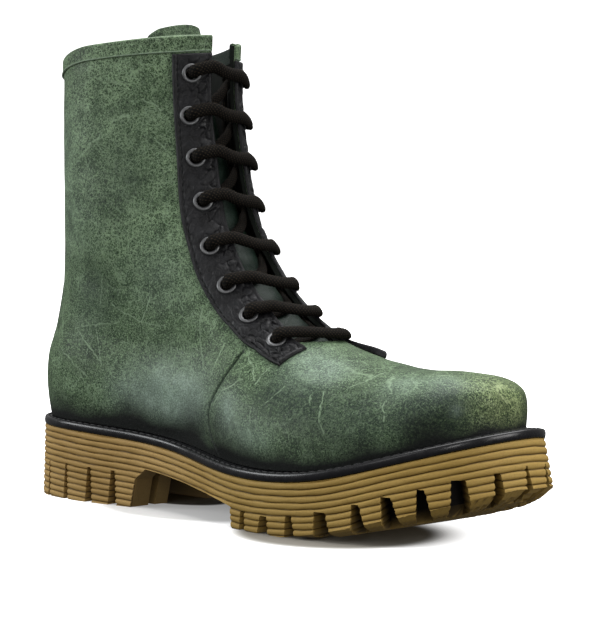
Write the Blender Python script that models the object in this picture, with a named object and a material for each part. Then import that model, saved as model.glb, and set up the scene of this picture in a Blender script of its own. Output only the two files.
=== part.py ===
"""Laced boot on a thick lugged sole, right foot, built as separate pieces.

X runs from heel to toe, -Y is the outer side of the foot, +Z is up and the
lugs rest on z = 0.  Sizes are in millimetres until a mesh is made.
"""
import bpy
import bmesh
import numpy as np

MM = 0.001

# ------------------------------------------------------------------ sizes, mm
WALL = 2.2              # leather of the upper
FIT = 0.3               # gap between pieces that meet
WELT_THICK = 4.2        # black strip between sole and upper
WELT_REACH = 6.0        # how far the strip goes in under the upper
STAY_THICK = 1.4        # eyelet facings
BACKSTAY_THICK = 1.0    # strip up the heel
BACKSTAY_HALF = 22.0
BAND_THICK = 1.1        # folded band round the collar
TONGUE_THICK = 2.4
TONGUE_SINK = 3.8       # tongue face below the outer face of the upper
LACE_RADIUS = 2.4
DIAGONAL_RADIUS = 2.1
BULGE = 2.6             # how far the upper stands out over the feather line
ROUND = 2.15            # roundness of the arched foot sections
SHAFT_BACK = 0.46       # share of the shaft's depth taken by its round back
SHAFT_PINCH = 2.3       # how far the laced front narrows
FEATHER_RISE = FIT + WELT_THICK + 0.4
EYELET_BORE = 2.9
EYELET_TUBE = 3.4
EYELET_HOLE = 3.8
EYELET_FLANGE = 5.0

# ------------------------------------------------------------------ tables
# top of the rubber sole along the foot
SOLE_TOP = [  # x, z
    (-152, 37.4), (-110, 36.4), (-70, 34.4), (-40, 31.8), (-10, 27.9), (20, 24.9),
    (50, 24.6), (80, 28.2), (110, 36.4), (135, 44.2), (152, 49.6)]
# underside: heel, heel breast, arch, forefoot breast, tread, toe spring
SOLE_BOTTOM = [  # x, z
    (-152, 0.0), (-61.5, 0.0), (-58.5, 14.5), (-51.5, 20.2), (-40, 18.9), (-20, 16.5), (0, 14.1), (14, 12.0),
    (22, 10.4), (23.5, 0.0), (58, 0.0), (70, 1.9), (80, 4.0), (95, 7.6), (110, 11.9), (122, 15.4), (135, 19.7),
    (152, 25.2)]
# the tread is rounded across under the toe: edge up, middle down
CROWN = [  # x, up, down
    (-152, 0.0, 0.0), (58, 0.0, 0.0), (70, 0.0, 1.7), (84, 0.2, 3.4), (110, 0.6, 4.0), (135, 1.3, 4.3),
    (146, 1.8, 2.4), (152, 2.0, 0.5)]
# slots in the front face of the heel: y outer, y inner
BREAST_SLOTS = [(-26.0, -21.3), (25.0, 29.7)]
# hollow between the side lugs of the heel: x back, x front, y outer, y inner, roof
HEEL_HOLLOW = (-116.0, -40.0, -12.5, 16.5, 19.4)
# plan of the sole
OUTLINE = [  # x, y outer side, y inner side
    (-146.0, -18.5, 18.5), (-134.0, -33.5, 33.0), (-112.0, -42.0, 41.0), (-85.0, -41.8, 39.5),
    (-55.0, -38.2, 36.5), (-25.0, -40.2, 38.0), (5.0, -48.3, 43.0), (35.0, -54.5, 49.5),
    (65.0, -55.0, 54.3), (95.0, -48.0, 53.5), (120.0, -34.7, 47.0), (138.0, -17.5, 37.5),
    (147.5, 0.5, 26.0)]
HEEL_TIP = (-150.0, 0.0)
TOE_TIP = (150.0, 12.5)
# how far the tread stands out past the top of the sole
FLARE = [  # x, out
    (-152, 0.4), (-60, 0.3), (30, 0.3), (80, 0.9), (120, 3.2), (152, 5.4)]
# how far the upper stands in from the edge of the sole
INSET = [  # x, in
    (-152, 3.4), (-110, 3.8), (-60, 5.5), (0, 6.5), (60, 7.5), (110, 8.5), (152, 9.0)]
# middle line of the foot, which swings inward at the toe
MIDDLE = [  # x, y
    (-152, 0.0), (-60, 0.0), (0, -0.5), (50, 1.5), (90, 5.0), (120, 9.0), (141, 12.5), (152, 13.5)]
# loops round the upper, each from the heel line to the front line
SECTIONS = [  # name, x back, z back, x front, z front
    ("feather", -144.4, 42.2, 140.9, 50.9),
    ("toe_wall", -145.2, 49.0, 141.0, 58.5),
    ("toe_cap", -145.6, 57.5, 138.0, 70.6),
    ("toe_top", -145.6, 65.0, 124.0, 77.6),
    ("vamp", -145.2, 74.0, 97.0, 77.8),
    ("ball", -144.2, 84.5, 70.0, 80.8),
    ("throat", -142.4, 97.0, 40.5, 88.8),
    ("instep", -140.4, 113.0, 13.2, 105.0),
    ("ankle", -139.0, 134.0, -9.9, 129.0),
    ("cuff_lo", -138.2, 156.0, -23.8, 152.8),
    ("cuff_mid", -138.0, 180.0, -31.2, 179.5),
    ("cuff_hi", -138.2, 205.0, -36.6, 208.0),
    ("collar", -138.6, 230.5, -37.2, 240.0)]
SHAFT_HALF = [  # section, half width
    ("feather", 39.5), ("ball", 39.5), ("instep", 40.0), ("ankle", 41.0), ("cuff_lo", 41.5),
    ("cuff_mid", 42.0), ("cuff_hi", 42.0), ("collar", 42.0)]
# throat: distances along the leather from the front line, by loop share
THROAT = [  # loop, edge of the throat, outer edge of the facing
    (0.0, 25.0, 55.0), (0.12, 25.5, 54.0), (0.20, 26.0, 52.8), (0.29, 25.5, 50.6),
    (0.345, 22.6, 47.8), (0.40, 17.0, 45.5), (0.45, 14.9, 43.4), (0.505, 13.8, 40.4),
    (0.56, 12.4, 36.8), (0.62, 11.3, 34.2), (0.70, 9.9, 31.4), (0.78, 9.2, 29.6),
    (0.87, 8.8, 28.5), (0.965, 8.3, 28.8), (1.0, 8.3, 29.0)]
EYELETS = [  # loop, distance from the front line
    (0.350, 30.2), (0.415, 28.6), (0.482, 27.6), (0.568, 24.8),
    (0.667, 20.5), (0.758, 20.5), (0.845, 20.8), (0.930, 18.9)]
# rows of the leather and the dip of the rows toward the facing's lower tip
ROWS = [0.0, 0.022, 0.045, 0.064, 0.084, 0.108, 0.14, 0.19, 0.24, 0.29, 0.345, 0.395, 0.44, 0.49, 0.55,
        0.615, 0.70, 0.79, 0.88, 0.965, 1.0]
ROW_THROAT = ROWS.index(0.345)
ROW_BAND = ROWS.index(0.965)
ROW_BACKSTAY = ROWS.index(0.44)
TIP_DIP = 0.05
TIP_SPREAD = 0.08
# columns: heel line to backstay edge, to facing, across facing, to front line
COLUMNS = (2, 11, 4, 3)
# tongue, bottom to top
TONGUE = [  # loop, half width, lean toward the heel, rise over the loop
    (0.30, 18.5, 0.0, 0.0), (0.37, 20.0, 1.6, 0.0), (0.44, 20.5, 2.8, 0.0), (0.52, 20.5, 3.4, 0.0),
    (0.61, 21.5, 4.4, 0.0), (0.70, 23.5, 6.6, 0.0), (0.79, 25.5, 9.8, 0.0), (0.88, 26.5, 14.2, 0.0),
    (0.96, 26.5, 19.4, 0.0), (1.0, 25.5, 22.0, 0.0), (1.0, 22.5, 23.6, 4.0), (1.0, 17.0, 24.4, 7.0)]
TONGUE_COLUMNS = 10
# footbed over the sole: thick under the heel, thin at the toe
FOOTBED = [  # x, thickness
    (-152, 24.0), (-100, 23.0), (-60, 19.0), (-20, 12.5), (20, 7.5), (60, 6.0), (152, 5.6)]
# gaps between lugs: place, width at the root and at the floor, how far the
# floor end leans to the toe, reach inward, height of solid rubber over it
LUG_GAPS = [  # x, root, floor, lean, reach, rubber
    (-123.0, 1.2, 2.4, 0.0, 15.0, 18.3), (-106.4, 1.4, 3.5, 0.1, 18.0, 17.6), (-89.1, 2.0, 4.7, 0.0, 18.0, 17.2),
    (-73.1, 2.5, 5.3, -0.3, 18.0, 16.8),
    (31.8, 2.8, 4.0, 0.0, 20.0, 15.2), (46.6, 4.4, 7.0, -0.2, 22.0, 16.0), (62.2, 3.4, 6.1, 1.0, 24.0, 15.4),
    (79.1, 5.6, 9.2, 1.6, 25.0, 14.5), (96.0, 3.4, 7.7, 2.2, 25.0, 13.8), (108.9, 4.6, 8.8, 3.2, 24.0, 13.5),
    (122.0, 3.3, 7.6, 2.2, 22.0, 13.5), (134.3, 6.6, 10.0, 1.5, 20.0, 12.8), (144.2, 3.0, 5.8, 1.0, 16.0, 12.8),
    (149.3, 0.9, 4.4, 0.8, 14.0, 11.6)]

# ------------------------------------------------------------------ curves


def cubic(xs, ys):
    """Natural cubic spline through the rows of a table."""
    xs, ys = np.asarray(xs, float), np.asarray(ys, float)
    n, h = len(xs), np.diff(np.asarray(xs, float))
    A = np.eye(n)
    r = np.zeros((n,) + ys.shape[1:])
    for i in range(1, n - 1):
        A[i, i - 1:i + 2] = h[i - 1], 2 * (h[i - 1] + h[i]), h[i]
        r[i] = 6 * ((ys[i + 1] - ys[i]) / h[i] - (ys[i] - ys[i - 1]) / h[i - 1])
    m = np.linalg.solve(A, r)

    def f(x):
        x = np.clip(np.asarray(x, float), xs[0], xs[-1])
        i = np.clip(np.searchsorted(xs, x) - 1, 0, n - 2)
        hi, a, b = h[i], xs[i + 1] - x, x - xs[i]
        if ys.ndim > 1:
            hi, a, b = hi[..., None], a[..., None], b[..., None]
        return (m[i] * a**3 + m[i + 1] * b**3) / (6 * hi) + (ys[i] / hi - m[i] * hi / 6) * a \
            + (ys[i + 1] / hi - m[i + 1] * hi / 6) * b
    return f


def curve_of(table):
    t = np.array(table, float)
    return cubic(t[:, 0], t[:, 1] if t.shape[1] == 2 else t[:, 1:])


def chord(P):
    return np.r_[0, np.cumsum(np.linalg.norm(np.diff(P, axis=0), axis=1))]


def smooth(a, b, x):
    t = np.clip((x - a) / (b - a), 0, 1)
    return t * t * (3 - 2 * t)


sole_top = curve_of(SOLE_TOP)
flare_at = curve_of(FLARE)
inset_at = curve_of(INSET)
middle_at = curve_of(MIDDLE)
throat_at = curve_of(THROAT)
tongue_at = curve_of([(i,) + row for i, row in enumerate(TONGUE)])
footbed_at = curve_of(FOOTBED)


def sole_bottom(x):
    t = np.array(SOLE_BOTTOM, float)
    return np.interp(x, t[:, 0], t[:, 1])


def crown(x):
    t = np.array(CROWN, float)
    return np.interp(x, t[:, 0], t[:, 1]), np.interp(x, t[:, 0], t[:, 2])


def feather(x):
    return sole_top(x) + FEATHER_RISE


def outline_curve(n=1440):
    """Closed plan of the sole, heel, outer side, toe, inner side."""
    P = np.array([HEEL_TIP] + [r[:2] for r in OUTLINE] + [TOE_TIP]
                 + [(r[0], r[2]) for r in OUTLINE[::-1]], float)
    Q = np.r_[P[-4:], P, P[:5]]
    d = chord(Q)
    return cubic(d, Q)(np.linspace(d[4], d[4 + len(P)], n, endpoint=False))


def outward(C):
    T = np.roll(C, -1, 0) - np.roll(C, 1, 0)
    T /= np.linalg.norm(T, axis=1)[:, None]
    return np.c_[T[:, 1], -T[:, 0]]


EDGE = outline_curve()
EDGE_OUT = outward(EDGE)
TREAD = EDGE + EDGE_OUT * flare_at(EDGE[:, 0])[:, None]
FEATHER = EDGE - EDGE_OUT * inset_at(EDGE[:, 0])[:, None]


def halves(C):
    """Outer and inner half of a closed plan, each from heel to toe."""
    C = np.roll(C, -int(np.argmin(C[:, 0])), 0)
    k = int(np.argmax(C[:, 0]))
    return C[:k + 1], np.r_[C[k:], C[:1]][::-1]


FEATHER_HALF = halves(FEATHER)
HEEL_X = max(h[0, 0] for h in FEATHER_HALF)
TOE_X = min(h[-1, 0] for h in FEATHER_HALF)


def half_width(x, side):
    P = FEATHER_HALF[0 if side < 0 else 1]
    return np.maximum(side * (np.interp(x, P[:, 0], P[:, 1]) - middle_at(x)), 0)


# ------------------------------------------------------------------ the last
SEC = np.array([r[1:] for r in SECTIONS], float)
LOOP = (chord(SEC[:, :2]) / chord(SEC[:, :2])[-1] + chord(SEC[:, 2:]) / chord(SEC[:, 2:])[-1]) / 2
LOOP_OF = {r[0]: w for r, w in zip(SECTIONS, LOOP)}
section_at = cubic(LOOP, SEC)
shaft_half = cubic([LOOP_OF[n] for n, _ in SHAFT_HALF], [v for _, v in SHAFT_HALF])
FRONT = section_at(np.linspace(0, 1, 400))[:, 2:]


def front_distance(x, z):
    """Distance in the side view from a point to the front line."""
    p = np.stack([x, z], -1).reshape(-1, 2)
    a, d = FRONT[:-1], np.diff(FRONT, axis=0)
    t = np.clip(((p[:, None] - a) * d).sum(-1) / (d**2).sum(1), 0, 1)
    return np.sqrt((((a + t[..., None] * d) - p[:, None])**2).sum(-1).min(1)).reshape(np.shape(x))


def half_loop(w, side, n=161):
    """One side of loop w of the upper, from heel line to front line."""
    t = (1 - np.cos(np.linspace(0, np.pi, n))) / 2
    xb, zb, xf, zf = section_at(w)
    x = xb + t * (xf - xb)
    xb0, zb0, xf0, zf0 = SEC[0]
    wave = feather(xb0 + t * (xf0 - xb0)) - (zb0 + t * (zf0 - zb0))
    z = zb + t * (zf - zb) + wave * (1 - smooth(0.0, LOOP_OF["ankle"], w))
    # foot: each upright section is an arch over the feather line
    xs = np.clip(x - (xb - xb0) * (1 - smooth(0.0, 0.3, t)), HEEL_X + 1e-3, TOE_X - 1e-3)
    h = half_width(xs, side)
    q = np.clip(front_distance(x, z) / np.maximum(front_distance(xs, feather(xs)), 1e-6), 0, 1)
    arch = (1 - (1 - q)**ROUND)**(1 / ROUND)
    out = BULGE * np.sin(np.pi * np.clip((z - feather(x)) / 46.0, 0, 1)) * np.clip(h / 30.0, 0, 1)
    # shaft: an oval with a round back, narrowing to the laces
    back = np.clip(t / SHAFT_BACK, 0, 1)
    oval = np.sqrt(1 - (1 - back)**2) * np.sqrt(1 - t**SHAFT_PINCH)
    shaft = shaft_half(w) * oval / np.sqrt(1 - SHAFT_BACK**SHAFT_PINCH)
    blend = smooth(LOOP_OF["vamp"], LOOP_OF["cuff_lo"], w)
    y = (1 - blend) * (h + out) * arch + blend * shaft
    y[0] = y[-1] = 0.0
    return np.c_[x, middle_at(x) + side * y, z]


TABLE_W = np.linspace(0, 1, 161)
TABLE_C = np.linspace(0, 4, 241)


def column_table(side):
    """Upper on a fine grid of loops and columns.

    Column 0 is the heel line, 1 the backstay edge, 2 the outer edge of the
    facing, 3 the edge of the throat and 4 the front line.
    """
    out = []
    for w in TABLE_W:
        L = half_loop(w, side)
        s = chord(L)
        edge, stay = throat_at(w)
        marks = [0.0, BACKSTAY_HALF, s[-1] - stay, s[-1] - edge, s[-1]]
        at = np.interp(TABLE_C, range(5), marks)
        out.append(np.c_[[np.interp(at, s, L[:, i]) for i in range(3)]].T)
    return np.array(out)


SURFACE = {-1: column_table(-1), 1: column_table(1)}


def on_upper(side, w, c):
    """Point on the outer face of the upper."""
    w, c = np.broadcast_arrays(np.asarray(w, float), np.asarray(c, float))
    T = SURFACE[side]
    i = np.clip(w, 0, 1) * (len(TABLE_W) - 1)
    j = np.clip(c, 0, 4) / 4 * (len(TABLE_C) - 1)
    i0 = np.clip(i.astype(int), 0, len(TABLE_W) - 2)
    j0 = np.clip(j.astype(int), 0, len(TABLE_C) - 2)
    a, b = (i - i0)[..., None], (j - j0)[..., None]
    return T[i0, j0] * (1 - a) * (1 - b) + T[i0 + 1, j0] * a * (1 - b) \
        + T[i0, j0 + 1] * (1 - a) * b + T[i0 + 1, j0 + 1] * a * b


def face_normal(side, w, c, dw=0.012, dc=0.06):
    """Outward direction of the upper's face."""
    n = np.cross(on_upper(side, w, c + dc) - on_upper(side, w, c - dc),
                 on_upper(side, w + dw, c) - on_upper(side, w - dw, c))
    n = n * (-side)
    return n / np.linalg.norm(n, axis=-1, keepdims=True)


def normal_at(side, w, c):
    w, c = np.broadcast_arrays(np.asarray(w, float), np.asarray(c, float))
    n = face_normal(side, w, c)
    seam = (c < 0.05) | (c > 3.95)
    n = np.where(seam[..., None], n + face_normal(-side, w, c), n)
    return n / np.linalg.norm(n, axis=-1, keepdims=True)


def column_of(w, distance):
    edge, stay = np.moveaxis(throat_at(w), -1, 0)
    d = np.abs(distance)
    return np.where(d <= edge, 4 - d / edge, 3 - (d - edge) / (stay - edge))


def at_distance(w, distance, lift):
    """Point lifted off the upper, by distance along the leather from the
    front line: negative on the outer side, positive on the inner side."""
    w, distance = np.broadcast_arrays(np.asarray(w, float), np.asarray(distance, float))
    P = np.empty(w.shape + (3,))
    for side in (-1, 1):
        m = (distance < 0) if side < 0 else (distance >= 0)
        c = column_of(w[m], distance[m])
        P[m] = on_upper(side, w[m], c) + normal_at(side, w[m], c) * lift
    return P


# ------------------------------------------------------------------ the rows
def column_values():
    return np.concatenate([np.linspace(i, i + 1, n, endpoint=False) for i, n in enumerate(COLUMNS)] + [[4.0]])


def row_loop(w, c):
    """Loop share of a row at column c: rows dip to the facing's lower tip."""
    away = np.where(c >= 2, np.clip(c - 2, 0, 1), np.clip((2 - c) / 1.0, 0, 1))
    return np.clip(w - TIP_DIP * np.exp(-((w - ROWS[ROW_THROAT]) / TIP_SPREAD)**2) * (1 - smooth(0, 1, away)), 0, 1)


COL = column_values()


def lattice(side, rows, cols, lift):
    c = np.broadcast_to(cols[None, :], (len(rows), len(cols)))
    w = row_loop(np.array(rows)[:, None], c)
    return on_upper(side, w, c) + normal_at(side, w, c) * lift


def around(rows, lift):
    """Whole loops: heel line, outer side, front line, inner side."""
    a = lattice(-1, rows, COL, lift)
    b = lattice(1, rows, COL, lift)
    return np.concatenate([a, b[:, -2:0:-1]], axis=1)


# ------------------------------------------------------------------ meshes
SPAN = np.r_[TREAD, EDGE]
PLACE = np.array([-(SPAN[:, 0].min() + SPAN[:, 0].max()) / 2, -(SPAN[:, 1].min() + SPAN[:, 1].max()) / 2, 0.0])
MATERIALS = {}


def material(name, colour, rough, metal=0.0):
    m = bpy.data.materials.new(name)
    m.use_nodes = True
    p = m.node_tree.nodes["Principled BSDF"]
    p.inputs["Base Color"].default_value = (*colour, 1.0)
    p.inputs["Roughness"].default_value = rough
    p.inputs["Metallic"].default_value = metal
    m.diffuse_color = (*colour, 1.0)
    MATERIALS[name] = m


def solid(name, verts, faces, slot, cutter=False):
    me = bpy.data.meshes.new(name)
    me.from_pydata([tuple((np.asarray(v, float) + PLACE) * MM) for v in verts], [], faces)
    bm = bmesh.new()
    bm.from_mesh(me)
    bmesh.ops.remove_doubles(bm, verts=bm.verts, dist=0.000005)
    bmesh.ops.dissolve_degenerate(bm, edges=bm.edges, dist=0.000005)
    loose = [v for v in bm.verts if not v.link_faces]
    bmesh.ops.delete(bm, geom=loose, context="VERTS")
    bmesh.ops.triangulate(bm, faces=[f for f in bm.faces if len(f.verts) > 3])
    bmesh.ops.recalc_face_normals(bm, faces=bm.faces)
    if bm.calc_volume(signed=True) < 0:
        bmesh.ops.reverse_faces(bm, faces=bm.faces)
    bm.to_mesh(me)
    bm.free()
    ob = bpy.data.objects.new(name, me)
    bpy.context.scene.collection.objects.link(ob)
    if slot:
        me.materials.append(MATERIALS[slot])
    if cutter:
        ob.hide_render = True
        ob.display_type = "WIRE"
    return ob


def boolean(ob, other, how):
    m = ob.modifiers.new(how.lower() + "_" + other.name, "BOOLEAN")
    m.operation = how
    m.solver = "EXACT"
    m.object = other


def sheet(name, outer, inner, slot, keep=None, wrap=False):
    """Closed sheet between two grids; keep says which cells are leather."""
    R, K = outer.shape[:2]
    cells = K if wrap else K - 1
    keep = np.ones((R - 1, cells), bool) if keep is None else keep
    V = np.r_[outer.reshape(-1, 3), inner.reshape(-1, 3)]
    N = R * K
    F = []

    def idx(r, k):
        return r * K + k % K

    def kept(r, k):
        if r < 0 or r >= R - 1:
            return False
        if wrap:
            return keep[r, k % cells]
        return 0 <= k < cells and keep[r, k]
    for r in range(R - 1):
        for k in range(cells):
            if not keep[r, k]:
                continue
            a, b, c, d = idx(r, k), idx(r, k + 1), idx(r + 1, k + 1), idx(r + 1, k)
            F += [(a, b, c), (a, c, d), (c + N, b + N, a + N), (d + N, c + N, a + N)]
            for (p, q), other in (((a, b), (r - 1, k)), ((b, c), (r, k + 1)), ((c, d), (r + 1, k)), ((d, a), (r, k - 1))):
                if not kept(*other):
                    F.append((q, p, p + N, q + N))
    return solid(name, V, F, slot)


def rail(rows, closed):
    """Closed skin over a list of equal rings; open ends get caps."""
    R, K = len(rows), len(rows[0])
    V = np.concatenate(rows)
    F = []
    for r in range(R if closed else R - 1):
        for k in range(K):
            a, b = r * K + k, r * K + (k + 1) % K
            c, d = ((r + 1) % R) * K + (k + 1) % K, ((r + 1) % R) * K + k
            F.append((a, b, c, d))
    if not closed:
        F += [tuple(range(K))[::-1], tuple(range((R - 1) * K, R * K))]
    return V, F


def joined(parts):
    V, F, n = [], [], 0
    for v, f in parts:
        V.append(v)
        F += [tuple(i + n for i in q) for q in f]
        n += len(v)
    return np.concatenate(V), F


def tube(path, up, radius, sides=6):
    path = np.asarray(path, float)
    T = np.gradient(path, axis=0)
    T /= np.linalg.norm(T, axis=1)[:, None]
    rings = []
    for p, t, u in zip(path, T, up):
        a = np.cross(t, u)
        a /= np.linalg.norm(a)
        b = np.cross(a, t)
        ang = (np.arange(sides) + 0.5) * 2 * np.pi / sides
        rings.append(p + radius * (np.cos(ang)[:, None] * a + np.sin(ang)[:, None] * b))
    return rail(rings, False)


# ------------------------------------------------------------------ pieces
def make_upper():
    outer, inner = around(ROWS, 0.0), around(ROWS, -WALL)
    half = len(COL) - 1
    keep = np.ones((len(ROWS) - 1, 2 * half), bool)
    slit = COLUMNS[3]
    keep[ROW_THROAT:, half - slit:half + slit] = False
    return sheet("upper", outer, inner, "leather_green", keep, wrap=True)


def make_facings():
    a = int(sum(COLUMNS[:2]))
    cols = COL[a:a + COLUMNS[2] + 1]
    rows = ROWS[ROW_THROAT:ROW_BAND + 1]
    obs = []
    for side, name in ((-1, "eyestay_lateral"), (1, "eyestay_medial")):
        order = cols if side < 0 else cols[::-1]
        lo = lattice(side, rows, order, FIT)
        hi = lattice(side, rows, order, FIT + STAY_THICK)
        obs.append(sheet(name, hi, lo, "leather_black"))
    return obs


def make_backstay():
    cols = COL[:COLUMNS[0] + 1]
    rows = ROWS[:ROW_BACKSTAY + 1]

    def strip(lift):
        a, b = lattice(-1, rows, cols, lift), lattice(1, rows, cols, lift)
        return np.concatenate([b[:, ::-1], a[:, 1:]], axis=1)
    return sheet("backstay", strip(FIT + BACKSTAY_THICK), strip(FIT), "leather_black")


def make_collar_band():
    """Strip folded over the collar edge, from throat edge to throat edge."""
    cols = COL[:int(sum(COLUMNS[:3])) + 1]
    low = ROWS[ROW_BAND] + 0.003
    out, under = FIT, WALL + FIT
    turn = [  # loop, lift, rise over the collar
        (low, out, 0.0), (low, out + BAND_THICK, 0.0), (1.0, out + BAND_THICK, 0.0), (1.0, out + 0.4, FIT + BAND_THICK),
        (1.0, -under - 0.4, FIT + BAND_THICK), (1.0, -under - BAND_THICK, 0.0), (low, -under - BAND_THICK, 0.0),
        (low, -under, 0.0), (1.0, -under, FIT), (1.0, out, FIT)]
    rings = []
    for side, cc in ((-1, cols[::-1]), (1, cols[1:])):
        for c in cc:
            rings.append(np.array([on_upper(side, w, c) + normal_at(side, min(w, 0.985), c) * lift + (0, 0, rise)
                                   for w, lift, rise in turn]))
    return solid("collar_band", *rail(rings, False), "leather_green")


def make_tongue():
    i = np.arange(len(TONGUE), dtype=float)
    w, half, lean, rise = tongue_at(i).T
    u = np.linspace(-1, 1, TONGUE_COLUMNS + 1)
    d = half[:, None] * u[None, :]
    W = np.broadcast_to(w[:, None], d.shape)

    def face(lift):
        P = at_distance(W, d, lift)
        P[..., 0] -= lean[:, None]
        P[..., 2] += rise[:, None]
        return P
    return sheet("tongue", face(-TONGUE_SINK), face(-TONGUE_SINK - TONGUE_THICK), "leather_green")


def eyelet_frame(side, w, distance):
    c = column_of(np.array(w), np.array(distance))
    return on_upper(side, w, c), normal_at(side, w, c)


def lathe(centre, axis, profile, sides, turn=0.0):
    a = np.cross(axis, (0.0, 0.0, 1.0))
    a /= np.linalg.norm(a)
    b = np.cross(axis, a)
    ang = np.arange(sides) * 2 * np.pi / sides + turn
    rings = [centre + axis * h + r * (np.cos(t) * a + np.sin(t) * b) for t in ang for r, h in profile]
    rings = np.array(rings).reshape(sides, len(profile), 3)
    return rail(list(rings), True)


def make_eyelets(uppers):
    seat = FIT + STAY_THICK + 0.6
    profile = [(EYELET_BORE, -WALL - 0.4), (EYELET_TUBE, -WALL - 0.4), (EYELET_TUBE, seat), (EYELET_FLANGE, seat),
               (EYELET_FLANGE - 0.3, seat + 0.6), (EYELET_BORE + 0.3, seat + 0.8)]
    holes = []
    for side, tag in ((-1, "lateral"), (1, "medial")):
        for i, (w, d) in enumerate(EYELETS):
            p, n = eyelet_frame(side, w, d)
            solid("eyelet_%s_%d" % (tag, i + 1), *lathe(p, n, profile, 10), "eyelet_metal")
            ring = np.arange(10) * 2 * np.pi / 10
            a = np.cross(n, (0.0, 0.0, 1.0))
            a /= np.linalg.norm(a)
            b = np.cross(n, a)
            circle = EYELET_HOLE * (np.cos(ring)[:, None] * a + np.sin(ring)[:, None] * b)
            holes.append(rail([p - n * 6 + circle, p + n * 6 + circle], False))
    cut = solid("cut_eyelet_holes", *joined(holes), None, cutter=True)
    for ob in uppers:
        boolean(ob, cut, "DIFFERENCE")


def make_lace():
    lift = FIT + STAY_THICK + 0.7 + LACE_RADIUS
    bars, ties = [], []
    for w, d in EYELETS:
        path_d = np.linspace(-(d - 6.2), d - 6.2, 6)
        path = at_distance(np.full(6, w), path_d, lift)
        up = at_distance(np.full(6, w), path_d, lift + 1) - path
        bars.append(tube(path, up, LACE_RADIUS))
    for (w0, d0), (w1, d1) in zip(EYELETS[:-1], EYELETS[1:]):
        reach = [float(throat_at(w)[0]) - DIAGONAL_RADIUS - 1.2 for w in (w0, w1)]
        share = np.linspace(0.0, 1.0, 3)
        ww = w0 + (w1 - w0) * share
        dd = -min(reach) + 2 * min(reach) * share
        path = at_distance(ww, dd, lift - 3.2)
        up = at_distance(ww, dd, lift) - path
        ties.append(tube(path, up, DIAGONAL_RADIUS))
    lace = solid("lace", *joined(bars), "lace_cord")
    tie = solid("join_lace_diagonals", *joined(ties), None, cutter=True)
    boolean(lace, tie, "UNION")


def stations(C, xs):
    """Points of both halves of a plan at the given places along the foot."""
    return [np.c_[[np.interp(xs, h[:, 0], h[:, i]) for i in range(h.shape[1])]].T for h in C]


def sole_places(lo, hi):
    even = lo + (hi - lo) * (1 - np.cos(np.linspace(0, np.pi, 36))) / 2
    marks = [x for x, _ in SOLE_BOTTOM if lo + 3 < x < hi - 3]
    even = [x for x in even if min(abs(x - m) for m in marks) > 1.5]
    return np.array(sorted(even + marks))


def make_outsole():
    k0, k1 = int(np.argmin(EDGE[:, 0])), int(np.argmax(EDGE[:, 0]))
    both = np.c_[EDGE, TREAD]
    roll = np.roll(both, -k0, 0)
    k1 = int(np.argmax(roll[:, 0]))
    lat, med = roll[:k1 + 1], np.r_[roll[k1:], roll[:1]][::-1]
    xs = sole_places(EDGE[:, 0].min(), EDGE[:, 0].max())
    L, M = stations((lat, med), xs)
    rings = []
    for a, b in zip(L, M):
        low = sole_bottom(a[0])
        up, down = crown(a[0])
        outer, inner = np.r_[a[2:], low + up], np.r_[b[2:], low + up]
        under = [outer * (1 - k) + inner * k - (0.0, 0.0, up + 0.9 * down) for k in (0.11, 0.89)]
        rings.append(np.array([(a[0], a[1], sole_top(a[0])), outer, *under, inner, (b[0], b[1], sole_top(b[0]))]))
    ob = solid("outsole", *rail(rings, False), "sole_tan")
    gaps = []
    for half, flip in ((lat, 1.0), (med, -1.0)):
        T = np.gradient(half[:, :2], axis=0)
        T /= np.linalg.norm(T, axis=1)[:, None]
        for x, root, floor, lean, reach, band in LUG_GAPS:
            p = np.array([np.interp(x, half[:, 0], half[:, i]) for i in (2, 3)])
            t = np.array([np.interp(x, half[:, 0], T[:, i]) for i in (0, 1)])
            t /= np.linalg.norm(t)
            n = np.array([t[1], -t[0]]) * flip
            top, low = float(sole_top(x)) - band, float(sole_bottom(x)) - 0.7 * float(crown(x)[1])
            rings = []
            for go in (9.0, -reach):
                c = p + n * go
                rings.append(np.array([(*(c + t * (s * wd / 2 + go_on)), z) for s, wd, go_on, z in
                                       ((-1, root, 0.0, top), (1, root, 0.0, top), (1, floor, lean, low), (1, floor, lean, low - 6.0),
                                        (-1, floor, lean, low - 6.0), (-1, floor, lean, low))]))
            gaps.append(rail(rings, False))
    cut = solid("cut_lug_gaps", *joined(gaps), None, cutter=True)
    boolean(ob, cut, "DIFFERENCE")
    xa, xb, ya, yb, roof = HEEL_HOLLOW
    r = (yb - ya) / 2
    turn = np.linspace(np.pi / 2, 3 * np.pi / 2, 9)
    plan = np.r_[np.c_[xa + r + r * np.cos(turn), (ya + yb) / 2 + r * np.sin(turn)], [(xb, ya), (xb, yb)]]
    hollow = rail([np.c_[plan, np.full(len(plan), z)] for z in (-3.0, roof)], False)
    boolean(ob, solid("cut_heel_hollow", *hollow, None, cutter=True), "DIFFERENCE")
    slots = []
    for y0, y1 in BREAST_SLOTS:
        slots.append(rail([np.array([(-78.0, y0, z), (-45.0, y0, z), (-45.0, y1, z), (-78.0, y1, z)]) for z in (-3.0, roof)], False))
    boolean(ob, solid("cut_breast_slots", *joined(slots), None, cutter=True), "DIFFERENCE")


def make_welt():
    n = 66
    pick = np.linspace(0, len(EDGE), n, endpoint=False).astype(int)
    out = EDGE[pick]
    inn = (FEATHER - EDGE_OUT * WELT_REACH)[pick]
    lo, hi = FIT, FIT + WELT_THICK
    rings = [np.array([(a[0], a[1], sole_top(a[0]) + lo), (a[0], a[1], sole_top(a[0]) + hi),
                       (b[0], b[1], sole_top(b[0]) + hi), (b[0], b[1], sole_top(b[0]) + lo)]) for a, b in zip(out, inn)]
    solid("welt", *rail(rings, True), "welt_black")


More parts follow.
